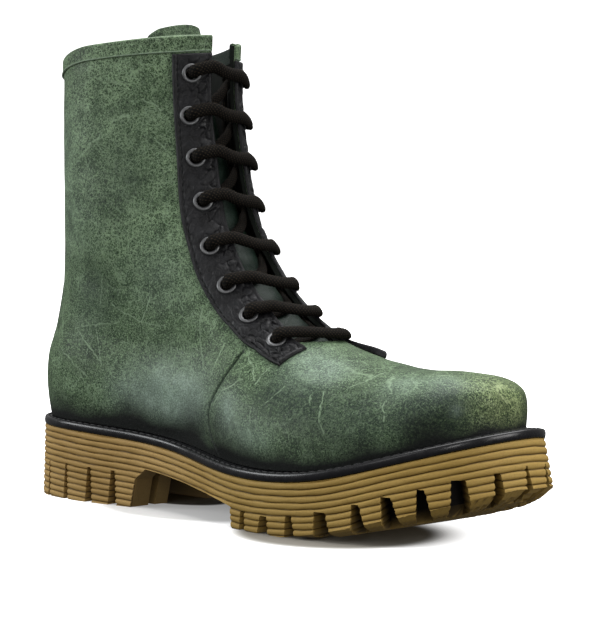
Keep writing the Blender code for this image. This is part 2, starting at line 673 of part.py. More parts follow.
def make_insole():
    plan = FEATHER - EDGE_OUT * (WELT_REACH + 1.0)
    lat, med = halves(plan)
    lo, hi = max(lat[0, 0], med[0, 0]), min(lat[-1, 0], med[-1, 0])
    xs = lo + (hi - lo) * (1 - np.cos(np.linspace(0, np.pi, 30))) / 2
    L, M = stations((lat, med), xs)
    rings = []
    for a, b in zip(L, M):
        z0, t = float(sole_top(a[0])) + FIT + 0.1, float(footbed_at(a[0]))
        rings.append(np.array([(a[0], a[1], z0), (a[0], a[1], z0 + t), (b[0], b[1], z0 + t), (b[0], b[1], z0)]))
    solid("insole", *rail(rings, False), "footbed_cloth")


def main():
    for ob in list(bpy.data.objects):
        bpy.data.objects.remove(ob, do_unlink=True)
    material("leather_green", (0.085, 0.135, 0.10), 0.55)
    material("leather_black", (0.012, 0.012, 0.013), 0.4)
    material("welt_black", (0.010, 0.010, 0.011), 0.25)
    material("sole_tan", (0.40, 0.26, 0.11), 0.6)
    material("footbed_cloth", (0.05, 0.045, 0.04), 0.85)
    material("lace_cord", (0.020, 0.017, 0.014), 0.8)
    material("eyelet_metal", (0.55, 0.56, 0.57), 0.3, 1.0)
    make_outsole()
    make_welt()
    make_insole()
    upper = make_upper()
    make_tongue()
    facings = make_facings()
    make_collar_band()
    make_backstay()
    make_eyelets([upper] + facings)
    make_lace()


if __name__ == "__main__":
    main()
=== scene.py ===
"""Looks of the laced boot: leather, facings, lace, welt and ridged rubber sole.

Sizes are in millimetres in the boot's own frame until a mesh is made.
"""
import math
import bpy
import numpy as np
from mathutils import Matrix


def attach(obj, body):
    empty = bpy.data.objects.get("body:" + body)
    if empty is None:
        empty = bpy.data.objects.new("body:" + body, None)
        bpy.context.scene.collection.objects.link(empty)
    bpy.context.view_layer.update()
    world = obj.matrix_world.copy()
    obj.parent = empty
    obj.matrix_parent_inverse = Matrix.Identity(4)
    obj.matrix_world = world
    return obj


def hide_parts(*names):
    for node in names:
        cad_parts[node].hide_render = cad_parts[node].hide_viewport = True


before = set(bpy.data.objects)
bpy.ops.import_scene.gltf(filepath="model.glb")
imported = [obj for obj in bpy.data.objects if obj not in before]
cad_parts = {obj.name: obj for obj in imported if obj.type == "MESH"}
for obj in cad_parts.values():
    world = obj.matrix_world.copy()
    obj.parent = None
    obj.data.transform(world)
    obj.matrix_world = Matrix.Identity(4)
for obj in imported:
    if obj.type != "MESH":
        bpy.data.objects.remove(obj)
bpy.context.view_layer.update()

MM = 0.001
RNG = np.random.default_rng(7)

# ------------------------------------------------------------------ sizes, mm
WALL = 2.2
FIT = 0.3
WELT_THICK = 4.2
WELT_REACH = 6.0
STAY_THICK = 1.4
BACKSTAY_THICK = 1.0
BACKSTAY_HALF = 22.0
BAND_THICK = 1.1
BAND_SHOW = 0.50            # the band is pressed flat on the leather
BAND_DEPTH = (1.10, 1.08, 0.98, 0.90, 0.90, 0.82)  # its depth from the heel to the front
TONGUE_THICK = 2.4
TONGUE_SINK = 3.8
BULGE = 2.6
ROUND = 2.15
SHAFT_BACK = 0.46
SHAFT_PINCH = 2.3
FEATHER_RISE = FIT + WELT_THICK + 0.4
EYELET_BORE = 2.9
EYELET_TUBE = 3.4
EYELET_HOLE = 3.8
EYELET_FLANGE = 5.0
LACE_OUT = (3.30, 2.45)     # half width and half thickness of the lace on the facings
LACE_HOLE = (2.45, 2.35)    # squeezed round in an eyelet
LACE_INSIDE = (2.7, 1.6)    # under the facings
# how far each bar climbs from its outer eyelet and sinks at the inner edge, in loop share
BAR_CLIMB = (0.008, 0.011, 0.013, 0.015, 0.014, 0.013, 0.013, 0.013)
BAR_SINK = (-0.004, 0.003, 0.008, 0.011, 0.012, 0.012, 0.012, 0.012)

SOLE_TOP = [  # x, z
    (-152, 37.4), (-110, 36.4), (-70, 34.4), (-40, 31.8), (-10, 27.9), (20, 24.9),
    (50, 24.6), (80, 28.2), (110, 36.4), (135, 44.2), (152, 49.6)]
SOLE_BOTTOM = [  # x, z
    (-152, 0.0), (-61.5, 0.0), (-58.5, 14.5), (-51.5, 20.2), (-40, 18.9), (-20, 16.5), (0, 14.1), (14, 12.0),
    (22, 10.4), (23.5, 0.0), (58, 0.0), (70, 1.9), (80, 4.0), (95, 7.6), (110, 11.9), (122, 15.4), (135, 19.7),
    (152, 25.2)]
CROWN = [  # x, up, down
    (-152, 0.0, 0.0), (58, 0.0, 0.0), (70, 0.0, 1.7), (84, 0.2, 3.4), (110, 0.6, 4.0), (135, 1.3, 4.3),
    (146, 1.8, 2.4), (152, 2.0, 0.5)]
BREAST_SLOTS = [(-26.0, -21.3), (25.0, 29.7)]
HEEL_HOLLOW = (-116.0, -40.0, -12.5, 16.5, 19.4)
OUTLINE = [  # x, y outer side, y inner side
    (-146.0, -18.5, 18.5), (-134.0, -33.5, 33.0), (-112.0, -42.0, 41.0), (-85.0, -41.8, 39.5),
    (-55.0, -38.2, 36.5), (-25.0, -40.2, 38.0), (5.0, -48.3, 43.0), (35.0, -54.5, 49.5),
    (65.0, -55.0, 54.3), (95.0, -48.0, 53.5), (120.0, -34.7, 47.0), (138.0, -17.5, 37.5),
    (147.5, 0.5, 26.0)]
HEEL_TIP = (-150.0, 0.0)
TOE_TIP = (150.0, 12.5)
FLARE = [  # x, out
    (-152, 0.4), (-60, 0.3), (30, 0.3), (80, 0.9), (120, 3.2), (152, 5.4)]
INSET = [  # x, in
    (-152, 3.4), (-110, 3.8), (-60, 5.5), (0, 6.5), (60, 7.5), (110, 8.5), (152, 9.0)]
MIDDLE = [  # x, y
    (-152, 0.0), (-60, 0.0), (0, -0.5), (50, 1.5), (90, 5.0), (120, 9.0), (141, 12.5), (152, 13.5)]
SECTIONS = [  # name, x back, z back, x front, z front
    ("feather", -144.4, 42.2, 140.9, 50.9),
    ("toe_wall", -145.2, 49.0, 141.0, 58.5),
    ("toe_cap", -145.6, 57.5, 138.0, 70.6),
    ("toe_top", -145.6, 65.0, 124.0, 77.6),
    ("vamp", -145.2, 74.0, 97.0, 77.8),
    ("ball", -144.2, 84.5, 70.0, 80.8),
    ("throat", -142.4, 97.0, 40.5, 88.8),
    ("instep", -140.4, 113.0, 13.2, 105.0),
    ("ankle", -139.0, 134.0, -9.9, 129.0),
    ("cuff_lo", -138.2, 156.0, -23.8, 152.8),
    ("cuff_mid", -138.0, 180.0, -31.2, 179.5),
    ("cuff_hi", -138.2, 205.0, -36.6, 208.0),
    ("collar", -138.6, 230.5, -37.2, 240.0)]
SHAFT_HALF = [  # section, half width
    ("feather", 39.5), ("ball", 39.5), ("instep", 40.0), ("ankle", 41.0), ("cuff_lo", 41.5),
    ("cuff_mid", 42.0), ("cuff_hi", 42.0), ("collar", 42.0)]
THROAT = [  # loop, edge of the throat, outer edge of the facing
    (0.0, 25.0, 55.0), (0.12, 25.5, 54.0), (0.20, 26.0, 52.8), (0.29, 25.5, 50.6),
    (0.345, 22.6, 47.8), (0.40, 17.0, 45.5), (0.45, 14.9, 43.4), (0.505, 13.8, 40.4),
    (0.56, 12.4, 36.8), (0.62, 11.3, 34.2), (0.70, 9.9, 31.4), (0.78, 9.2, 29.6),
    (0.87, 8.8, 28.5), (0.965, 8.3, 28.8), (1.0, 8.3, 29.0)]
EYELETS = [  # loop, distance from the front line
    (0.350, 30.2), (0.415, 28.6), (0.482, 27.6), (0.568, 24.8),
    (0.667, 20.5), (0.758, 20.5), (0.845, 20.8), (0.930, 18.9)]
LOOP_THROAT = 0.345
LOOP_BAND = 0.968
LOOP_BACKSTAY = 0.44
TONGUE = [  # loop, half width, lean toward the heel, rise over the loop
    (0.30, 18.5, 0.0, 0.0), (0.37, 20.0, 1.6, 0.0), (0.44, 20.5, 2.8, 0.0), (0.52, 20.5, 3.4, 0.0),
    (0.61, 21.5, 4.4, 0.0), (0.70, 23.5, 6.6, 0.0), (0.79, 25.5, 9.8, 0.0), (0.88, 26.5, 14.2, 0.0),
    (0.96, 26.5, 19.4, 0.0), (1.0, 25.5, 22.0, 0.0), (1.0, 22.5, 23.6, 4.0), (1.0, 17.0, 24.4, 7.0)]
LUG_GAPS = [  # x, root, floor, lean, reach, rubber
    (-123.0, 1.2, 2.4, 0.0, 15.0, 18.3), (-106.4, 1.4, 3.5, 0.1, 18.0, 17.6), (-89.1, 2.0, 4.7, 0.0, 18.0, 17.2),
    (-73.1, 2.5, 5.3, -0.3, 18.0, 16.8),
    (31.8, 2.8, 4.0, 0.0, 20.0, 15.2), (46.6, 4.4, 7.0, -0.2, 22.0, 16.0), (62.2, 3.4, 6.1, 1.0, 24.0, 15.4),
    (79.1, 5.6, 9.2, 1.6, 25.0, 14.5), (96.0, 3.4, 7.7, 2.2, 25.0, 13.8), (108.9, 4.6, 8.8, 3.2, 24.0, 13.5),
    (122.0, 3.3, 7.6, 2.2, 22.0, 13.5), (134.3, 6.6, 10.0, 1.5, 20.0, 12.8), (144.2, 3.0, 5.8, 1.0, 16.0, 12.8),
    (149.3, 0.9, 4.4, 0.8, 14.0, 11.6)]
# seam between vamp and quarter in the side view
SEAM = [  # z, x
    (30.0, 5.5), (35.5, 1.3), (44.3, -4.0), (53.4, -5.6), (62.7, -1.4), (74.7, 4.8), (84.6, 9.9), (90.0, 13.2)]
# creases: side, then start and end in the side view, bow, half width, depth
CREASES = [  # side, x, z, x, z, bow, width, depth
    (-1, 46, 50, 62, 74, 3.0, 4.5, 0.40), (-1, 84, 56, 92, 70, 2.0, 4.0, 0.30),
    (1, 44, 50, 60, 78, 3.0, 4.5, 0.55), (1, 60, 56, 74, 76, 2.5, 4.0, 0.40),
    (-1, -46, 96, -14, 84, -5.0, 5.0, 0.45), (-1, -58, 116, -38, 108, -4.0, 4.5, 0.40),
    (-1, -118, 118, -78, 110, 5.0, 7.0, 0.60), (-1, -124, 136, -92, 128, 4.0, 7.0, 0.45),
    (-1, -112, 96, -84, 92, 3.0, 6.0, 0.40), (-1, -66, 76, -26, 66, -4.0, 6.0, -0.55),
    (1, -46, 96, -8, 88, -5.0, 5.0, 0.60), (1, -58, 116, -30, 108, -4.0, 4.5, 0.55),
    (1, -118, 118, -78, 110, 5.0, 6.0, 0.70), (1, -124, 136, -92, 128, 4.0, 6.0, 0.55),
    (-1, -104, 172, -72, 168, 3.0, 8.0, 0.45), (1, -104, 172, -72, 168, 3.0, 7.0, 0.45),
    (-1, 36, 76, 76, 68.5, -3.0, 4.5, -0.50), (-1, 76, 68.5, 110, 75, -1.5, 4.5, -0.45),
    (-1, 38, 73.5, 64, 67.0, -2.0, 1.7, 0.36), (-1, 62, 67.0, 96, 71.0, -1.5, 1.7, 0.30)]
# pale scratches: start and end in the side view, half width, strength
SCRATCHES = [  # x, z, x, z, half width, strength
    (-23.0, 103.5, -19.7, 81.6, 0.30, 0.40), (-19.7, 81.6, -13.0, 72.7, 0.30, 0.40), (-4.0, 85.9, -7.7, 70.4, 0.30, 0.55),
    (-59.9, 94.1, -54.4, 106.6, 0.28, 0.50), (-59.9, 94.1, -79.2, 101.9, 0.28, 0.42), (-59.9, 94.1, -45.1, 92.8, 0.28, 0.36),
    (-104.2, 88.1, -86.3, 72.8, 0.28, 0.42), (-92.0, 91.1, -85.4, 70.9, 0.30, 0.40), (-85.7, 116.1, -87.2, 101.5, 0.30, 0.32),
    (-107.2, 89.3, -74.6, 94.3, 0.25, 0.30), (-118.0, 79.0, -93.4, 64.7, 0.25, 0.32), (-36.9, 88.7, -21.7, 82.3, 0.28, 0.32),
    (-37.4, 82.3, -16.4, 66.9, 0.25, 0.30), (15.8, 69.6, 3.3, 63.5, 0.28, 0.50), (3.3, 63.5, -0.9, 55.5, 0.28, 0.42),
    (10.8, 83.9, 23.7, 69.9, 0.32, 0.52), (28.6, 75.8, 24.6, 68.7, 0.28, 0.42), (65.2, 67.5, 69.2, 56.0, 0.30, 0.38),
    (69.2, 56.0, 74.2, 49.0, 0.28, 0.32), (97.9, 64.3, 101.2, 55.9, 0.28, 0.32), (89.4, 75.0, 98.5, 67.7, 0.32, 0.42),
    (58.8, 65.6, 61.3, 60.5, 0.28, 0.32), (42.5, 67.9, 35.9, 58.8, 0.25, 0.32), (27.7, 57.2, 31.4, 42.4, 0.25, 0.30),
    (75.3, 68.6, 83.6, 75.9, 0.28, 0.38), (65.5, 78.1, 81.6, 73.9, 0.28, 0.32), (95.4, 76.3, 107.2, 72.2, 0.25, 0.32),
    (134.5, 73.7, 139.6, 64.8, 0.28, 0.36), (-83.1, 218.0, -75.6, 215.5, 0.40, 0.40), (-78.7, 196.6, -71.4, 199.1, 0.60, 0.36),
    (-103.0, 176.0, -86.1, 189.8, 0.30, 0.36), (-62.8, 207.4, -54.4, 202.2, 0.28, 0.32), (-56.3, 188.4, -48.8, 178.7, 0.28, 0.30)]
# darker blotches of the leather, and painted shade on the vamp side and the lower toe; negative entries take darkness
# away: middle, spread, strength
BLOTCHES_AND_SHADE = [  # x, y, z, spread, dark
    (-89, -38, 111, 15, 0.55), (-69, -37, 168, 20, 0.55), (-58, -37, 205, 22, 0.30), (-92, -38, 140, 18, 0.20), (-98, -39, 80, 18, 0.30), (10, -42, 62, 9, 0.25), (36, -42, 64, 13, 0.75),
    (57, -42, 60, 16, 0.90), (88, -38, 58, 19, 0.85), (124, -21, 60, 13, 1.40), (112, -30, 57, 11, 0.60), (-50, -36, 130, 16, -0.25),
    (-30, -36, 110, 14, -0.25), (-60, -36, 226, 14, -0.2), (72, -14, 79, 9, 0.25), (92, -4, 79, 9, 0.30)]
# painted highlights: pale patches where the lamps reflect off the leather, which is also made a little less rough there
PAINTED_HIGHLIGHTS = [  # x, y, z, spread, much
    (-45, -34, 58, 16, 0.95), (-22, -36, 56, 15, 0.95), (-68, -36, 58, 12, 0.50), (9, -45, 58, 8, 0.45), (11, -45, 49, 9, 0.55), (26, -48, 44, 9, 0.45), (38, -49, 42, 8, 0.25),
    (46, -24, 79, 14, 0.42), (60, -25, 75, 10, 0.40), (100, -20, 73, 10, 0.34), (119, -13, 74, 10, 0.40), (129, -17, 62, 3, 0.30),
    (-122, -33, 185, 26, 0.22), (-112, -39, 145, 20, 0.18), (-50, -37, 118, 18, 0.16), (-96, -39, 100, 14, 0.12)]
# light: room below and above, overhead, then soft boxes
ROOM = (0.10, 0.50)
OVERHEAD = 2.9
BOXES = [  # name, place, wide, high, power, colour
    ("left_box", (-1.15, -1.05, 0.62), 0.90, 0.60, 11.0, (0.96, 0.99, 1.0)),
    ("front_box", (0.35, -1.55, 0.75), 0.80, 0.50, 2.5, (1.0, 1.0, 1.0)),
    ("right_box", (1.35, 0.15, 0.40), 0.50, 0.60, 5.0, (1.0, 0.99, 0.97)),
    ("toe_strip", (1.20, -0.80, 0.22), 0.16, 0.30, 1.2, (1.0, 1.0, 1.0))]
# camera: azimuth, elevation, distance, focal length in pixels, aim right, aim up, roll
CAMERA = (41.92, 2.02, 989.58, 1973.92, 13.01, 101.32, 1.13)

# ------------------------------------------------------------------ curves


def cubic(xs, ys):
    xs, ys = np.asarray(xs, float), np.asarray(ys, float)
    n, h = len(xs), np.diff(np.asarray(xs, float))
    A = np.eye(n)
    r = np.zeros((n,) + ys.shape[1:])
    for i in range(1, n - 1):
        A[i, i - 1:i + 2] = h[i - 1], 2 * (h[i - 1] + h[i]), h[i]
        r[i] = 6 * ((ys[i + 1] - ys[i]) / h[i] - (ys[i] - ys[i - 1]) / h[i - 1])
    m = np.linalg.solve(A, r)

    def f(x):
        x = np.clip(np.asarray(x, float), xs[0], xs[-1])
        i = np.clip(np.searchsorted(xs, x) - 1, 0, n - 2)
        hi, a, b = h[i], xs[i + 1] - x, x - xs[i]
        if ys.ndim > 1:
            hi, a, b = hi[..., None], a[..., None], b[..., None]
        return (m[i] * a**3 + m[i + 1] * b**3) / (6 * hi) + (ys[i] / hi - m[i] * hi / 6) * a \
            + (ys[i + 1] / hi - m[i + 1] * hi / 6) * b
    return f


def curve_of(table):
    t = np.array(table, float)
    return cubic(t[:, 0], t[:, 1] if t.shape[1] == 2 else t[:, 1:])


def chord(P):
    return np.r_[0, np.cumsum(np.linalg.norm(np.diff(P, axis=0), axis=1))]


def smooth(a, b, x):
    t = np.clip((x - a) / (b - a), 0, 1)
    return t * t * (3 - 2 * t)


sole_top = curve_of(SOLE_TOP)
flare_at = curve_of(FLARE)
inset_at = curve_of(INSET)
middle_at = curve_of(MIDDLE)
throat_at = curve_of(THROAT)
tongue_at = curve_of([(i,) + row for i, row in enumerate(TONGUE)])


def sole_bottom(x):
    t = np.array(SOLE_BOTTOM, float)
    return np.interp(x, t[:, 0], t[:, 1])


def crown(x):
    t = np.array(CROWN, float)
    return np.interp(x, t[:, 0], t[:, 1]), np.interp(x, t[:, 0], t[:, 2])


def feather(x):
    return sole_top(x) + FEATHER_RISE


def outline_curve(n):
    P = np.array([HEEL_TIP] + [r[:2] for r in OUTLINE] + [TOE_TIP]
                 + [(r[0], r[2]) for r in OUTLINE[::-1]], float)
    Q = np.r_[P[-4:], P, P[:5]]
    d = chord(Q)
    return cubic(d, Q)(np.linspace(d[4], d[4 + len(P)], n, endpoint=False))


def outward(C):
    T = np.roll(C, -1, 0) - np.roll(C, 1, 0)
    T /= np.linalg.norm(T, axis=1)[:, None]
    return np.c_[T[:, 1], -T[:, 0]]


EDGE = outline_curve(1440)
EDGE_OUT = outward(EDGE)
TREAD = EDGE + EDGE_OUT * flare_at(EDGE[:, 0])[:, None]
FEATHER = EDGE - EDGE_OUT * inset_at(EDGE[:, 0])[:, None]
SPAN = np.r_[TREAD, EDGE]
PLACE = np.array([-(SPAN[:, 0].min() + SPAN[:, 0].max()) / 2, -(SPAN[:, 1].min() + SPAN[:, 1].max()) / 2, 0.0])


def halves(C):
    C = np.roll(C, -int(np.argmin(C[:, 0])), 0)
    k = int(np.argmax(C[:, 0]))
    return C[:k + 1], np.r_[C[k:], C[:1]][::-1]


FEATHER_HALF = halves(FEATHER)
TREAD_HALF = halves(TREAD)
HEEL_X = max(h[0, 0] for h in FEATHER_HALF)
TOE_X = min(h[-1, 0] for h in FEATHER_HALF)


def half_width(x, side):
    P = FEATHER_HALF[0 if side < 0 else 1]
    return np.maximum(side * (np.interp(x, P[:, 0], P[:, 1]) - middle_at(x)), 0)


# ------------------------------------------------------------------ the last
SEC = np.array([r[1:] for r in SECTIONS], float)
LOOP = (chord(SEC[:, :2]) / chord(SEC[:, :2])[-1] + chord(SEC[:, 2:]) / chord(SEC[:, 2:])[-1]) / 2
LOOP_OF = {r[0]: w for r, w in zip(SECTIONS, LOOP)}
section_at = cubic(LOOP, SEC)
shaft_half = cubic([LOOP_OF[n] for n, _ in SHAFT_HALF], [v for _, v in SHAFT_HALF])
FRONT = section_at(np.linspace(0, 1, 400))[:, 2:]


def front_distance(x, z):
    p = np.stack([x, z], -1).reshape(-1, 2)
    a, d = FRONT[:-1], np.diff(FRONT, axis=0)
    t = np.clip(((p[:, None] - a) * d).sum(-1) / (d**2).sum(1), 0, 1)
    return np.sqrt((((a + t[..., None] * d) - p[:, None])**2).sum(-1).min(1)).reshape(np.shape(x))


def half_loop(w, side, n=281):
    t = (1 - np.cos(np.linspace(0, np.pi, n))) / 2
    xb, zb, xf, zf = section_at(w)
    x = xb + t * (xf - xb)
    xb0, zb0, xf0, zf0 = SEC[0]
    wave = feather(xb0 + t * (xf0 - xb0)) - (zb0 + t * (zf0 - zb0))
    z = zb + t * (zf - zb) + wave * (1 - smooth(0.0, LOOP_OF["ankle"], w))
    xs = np.clip(x - (xb - xb0) * (1 - smooth(0.0, 0.3, t)), HEEL_X + 1e-3, TOE_X - 1e-3)
    h = half_width(xs, side)
    q = np.clip(front_distance(x, z) / np.maximum(front_distance(xs, feather(xs)), 1e-6), 0, 1)
    arch = (1 - (1 - q)**ROUND)**(1 / ROUND)
    out = BULGE * np.sin(np.pi * np.clip((z - feather(x)) / 46.0, 0, 1)) * np.clip(h / 30.0, 0, 1)
    back = np.clip(t / SHAFT_BACK, 0, 1)
    oval = np.sqrt(1 - (1 - back)**2) * np.sqrt(1 - t**SHAFT_PINCH)
    shaft = shaft_half(w) * oval / np.sqrt(1 - SHAFT_BACK**SHAFT_PINCH)
    blend = smooth(LOOP_OF["vamp"], LOOP_OF["cuff_lo"], w)
    y = (1 - blend) * (h + out) * arch + blend * shaft
    y[0] = y[-1] = 0.0
    return np.c_[x, middle_at(x) + side * y, z]


TABLE_W = np.linspace(0, 1, 281)
TABLE_C = np.linspace(0, 4, 641)


def column_table(side):
    out, mid = [], []
    for w in TABLE_W:
        L = half_loop(w, side)
        s = chord(L)
        edge, stay = throat_at(w)
        marks = [0.0, BACKSTAY_HALF, s[-1] - stay, s[-1] - edge, s[-1]]
        at = np.interp(TABLE_C, range(5), marks)
        out.append(np.c_[[np.interp(at, s, L[:, i]) for i in range(3)]].T)
        mid.append(marks[2] - marks[1])
    return np.array(out), np.array(mid)


SURFACE, MIDSPAN = {}, {}
for _side in (-1, 1):
    SURFACE[_side], MIDSPAN[_side] = column_table(_side)


def calm_crest():
    """Evens the ridge of the forefoot, where the loops turn back on themselves."""
    k = int(np.argmin(np.abs(TABLE_C - 2.0)))
    L = np.concatenate([SURFACE[-1][:, k:], SURFACE[1][:, k:][:, -2::-1]], axis=1)
    c = np.r_[TABLE_C[k:], TABLE_C[k:][-2::-1]]
    G = L
    for axis, spread in ((1, 24.0), (0, 2.5)):
        r = int(3 * spread)
        weight = np.exp(-0.5 * (np.arange(-r, r + 1) / spread)**2)
        pad = [(0, 0)] * 3
        pad[axis] = (r, r)
        E = np.pad(G, pad, mode="edge")
        G = sum(v / weight.sum() * np.take(E, range(i, i + L.shape[axis]), axis=axis) for i, v in enumerate(weight))
    much = (smooth(0.0, 0.05, TABLE_W) * (1 - smooth(0.33, 0.37, TABLE_W)))[:, None] * smooth(2.7, 3.3, c)[None, :]
    L = L + (G - L) * much[..., None]
    n = len(TABLE_C) - k
    SURFACE[-1][:, k:], SURFACE[1][:, k:] = L[:, :n], L[:, n - 1:][:, ::-1]


calm_crest()


def from_axis(P):
    """Directions straight out of the middle of the forefoot."""
    x = np.minimum(P[..., 0], 112.0)
    n = P - np.stack([x, middle_at(x), feather(x) + 10.0], -1)
    return n / np.linalg.norm(n, axis=-1, keepdims=True)


def steadied(P, N, W, C):
    much = (smooth(2.4, 3.0, C) * (1 - smooth(0.33, 0.39, W)))[..., None]
    n = N * (1 - much) + from_axis(P) * much
    return n / np.linalg.norm(n, axis=-1, keepdims=True)


def on_upper(side, w, c):
    w, c = np.broadcast_arrays(np.asarray(w, float), np.asarray(c, float))
    T = SURFACE[side]
    i = np.clip(w, 0, 1) * (len(TABLE_W) - 1)
    j = np.clip(c, 0, 4) / 4 * (len(TABLE_C) - 1)
    i0 = np.clip(i.astype(int), 0, len(TABLE_W) - 2)
    j0 = np.clip(j.astype(int), 0, len(TABLE_C) - 2)
    a, b = (i - i0)[..., None], (j - j0)[..., None]
    return T[i0, j0] * (1 - a) * (1 - b) + T[i0 + 1, j0] * a * (1 - b) \
        + T[i0, j0 + 1] * (1 - a) * b + T[i0 + 1, j0 + 1] * a * b


def face_normal(side, w, c, dw=0.012, dc=0.06):
    n = np.cross(on_upper(side, w, c + dc) - on_upper(side, w, c - dc),
                 on_upper(side, w + dw, c) - on_upper(side, w - dw, c))
    n = n * (-side)
    return n / np.linalg.norm(n, axis=-1, keepdims=True)


def normal_at(side, w, c):
    w, c = np.broadcast_arrays(np.asarray(w, float), np.asarray(c, float))
    n = face_normal(side, w, c)
    seam = (c < 0.05) | (c > 3.95)
    n = np.where(seam[..., None], n + face_normal(-side, w, c), n)
    return n / np.linalg.norm(n, axis=-1, keepdims=True)


def column_of(w, distance):
    edge, stay = np.moveaxis(throat_at(w), -1, 0)
    d = np.abs(distance)
    return np.where(d <= edge, 4 - d / edge, 3 - (d - edge) / (stay - edge))


def at_distance(w, distance, lift):
    w, distance, lift = np.broadcast_arrays(np.asarray(w, float), np.asarray(distance, float), np.asarray(lift, float))
    P = np.empty(w.shape + (3,))
    for side in (-1, 1):
        m = (distance < 0) if side < 0 else (distance >= 0)
        c = column_of(w[m], distance[m])
        P[m] = on_upper(side, w[m], c) + normal_at(side, w[m], c) * lift[m][..., None]
    return P


# ------------------------------------------------------------------ meshes
MATERIALS = {}


def put(name, V, F, mats, face_mat=None, angle=42.0):
    """Object from points in mm and faces of any size, smooth, turned outward."""
    V = (np.asarray(V, float) + PLACE) * MM
    faces = [np.asarray(f, int) for f in (F if isinstance(F, list) else [F])]
    used = np.unique(np.concatenate([f.ravel() for f in faces]))
    new = np.full(len(V), -1)
    new[used] = np.arange(len(used))
    V = V[used]
    faces = [new[f] for f in faces]
    vol = 0.0
    for f in faces:
        for i in range(1, f.shape[1] - 1):
            vol += np.einsum("ij,ij->i", V[f[:, 0]], np.cross(V[f[:, i]], V[f[:, i + 1]])).sum()
    if vol < 0:
        faces = [f[:, ::-1] for f in faces]
    me = bpy.data.meshes.new(name)
    loops = np.concatenate([f.ravel() for f in faces])
    sizes = np.concatenate([np.full(len(f), f.shape[1]) for f in faces])
    me.vertices.add(len(V))
    me.vertices.foreach_set("co", V.ravel().astype(np.float32))
    me.loops.add(len(loops))
    me.loops.foreach_set("vertex_index", loops.astype(np.int32))
    me.polygons.add(len(sizes))
    me.polygons.foreach_set("loop_start", np.r_[0, np.cumsum(sizes)[:-1]].astype(np.int32))
    me.polygons.foreach_set("use_smooth", np.ones(len(sizes), bool))
    if face_mat is not None:
        me.polygons.foreach_set("material_index", np.concatenate(face_mat).astype(np.int32))
    for m in mats:
        me.materials.append(MATERIALS[m])
    me.update(calc_edges=True)
    me.validate()
    if angle:
        me.set_sharp_from_angle(angle=math.radians(angle))
    ob = bpy.data.objects.new(name, me)
    bpy.context.scene.collection.objects.link(ob)
    return ob


def points_of(ob):
    """Vertices of an object in mm in the boot's own frame."""
    co = np.empty(len(ob.data.vertices) * 3, np.float32)
    ob.data.vertices.foreach_get("co", co)
    return co.reshape(-1, 3).astype(float) / MM - PLACE


def paint(ob, name, values):
    a = ob.data.attributes.new(name, "FLOAT", "POINT")
    a.data.foreach_set("value", np.asarray(values, np.float32))


def subtract(ob, cutter, angle=42.0):
    mats = list(ob.data.materials)
    m = ob.modifiers.new("cut", "BOOLEAN")
    m.operation, m.solver, m.object = "DIFFERENCE", "MANIFOLD", cutter
    dg = bpy.context.evaluated_depsgraph_get()
    me = bpy.data.meshes.new_from_object(ob.evaluated_get(dg))
    ob.modifiers.clear()
    old, ob.data = ob.data, me
    bpy.data.meshes.remove(old)
    bpy.data.objects.remove(cutter, do_unlink=True)
    for i, mat in enumerate(me.materials):
        if mat is None:
            me.materials[i] = mats[min(i, len(mats) - 1)]
    me.polygons.foreach_set("use_smooth", np.ones(len(me.polygons), bool))
    if angle:
        me.set_sharp_from_angle(angle=math.radians(angle))


def grid_faces(R, K, wrap=False):
    r = np.arange(R - 1)[:, None]
    k = np.arange(K if wrap else K - 1)[None, :]
    a, b = r * K + k, r * K + (k + 1) % K
    return np.stack([a, b, b + K, a + K], -1)


def skin(outer, inner, keep=None, wrap=False):
    """Closed sheet: a fine outer grid, an inner grid with every second line,
    and rims where they meet.  keep says which cells of the inner grid exist."""
    R, K = outer.shape[:2]
    Rc, Kc = inner.shape[:2]
    cells = Kc if wrap else Kc - 1
    keep = np.ones((Rc - 1, cells), bool) if keep is None else keep
    fine = np.repeat(np.repeat(keep, 2, 0), 2, 1)
    top = grid_faces(R, K, wrap)[fine]
    low = (grid_faces(Rc, Kc, wrap)[keep] + R * K)[:, ::-1]
    rims = []
    for r, k in zip(*np.nonzero(keep)):
        def here(rr, kk):
            if rr < 0 or rr >= Rc - 1:
                return False
            if wrap:
                return keep[rr, kk % cells]
            return 0 <= kk < cells and keep[rr, kk]
        a, b, c, d = (r, k), (r, k + 1), (r + 1, k + 1), (r + 1, k)
        for p, q, other in ((a, b, (r - 1, k)), (b, c, (r, k + 1)), (c, d, (r + 1, k)), (d, a, (r, k - 1))):
            if not here(*other):
                fp = 2 * p[0] * K + (2 * p[1]) % K
                fq = 2 * q[0] * K + (2 * q[1]) % K
                fm = (p[0] + q[0]) * K + (p[1] + q[1]) % K
                cp, cq = R * K + p[0] * Kc + p[1] % Kc, R * K + q[0] * Kc + q[1] % Kc
                rims.append((fq, fm, fp, cp, cq))
    return np.r_[outer.reshape(-1, 3), inner.reshape(-1, 3)], [top, low, np.array(rims)]


def grid_normals(P):
    """Outward directions of a whole-around grid, from its own cells."""
    A = np.roll(P, -1, 1)
    n = np.cross(A[1:] - P[:-1], P[1:] - A[:-1])
    out = np.zeros_like(P)
    for part in (n, np.roll(n, 1, 1)):
        out[:-1] += part
        out[1:] += part
    if (out * (P - P.mean(axis=1, keepdims=True))).sum() < 0:
        out = -out
    return out / np.maximum(np.linalg.norm(out, axis=-1, keepdims=True), 1e-12)


def rail(rows, closed):
    rows = np.asarray(rows, float)
    R, K = rows.shape[:2]
    r = np.arange(R if closed else R - 1)[:, None]
    k = np.arange(K)[None, :]
    a, b = r * K + k, r * K + (k + 1) % K
    c, d = ((r + 1) % R) * K + (k + 1) % K, ((r + 1) % R) * K + k
    F = [np.stack([a, b, c, d], -1).reshape(-1, 4)]
    if not closed:
        F += [np.arange(K)[::-1][None], np.arange((R - 1) * K, R * K)[None]]
    return rows.reshape(-1, 3), F


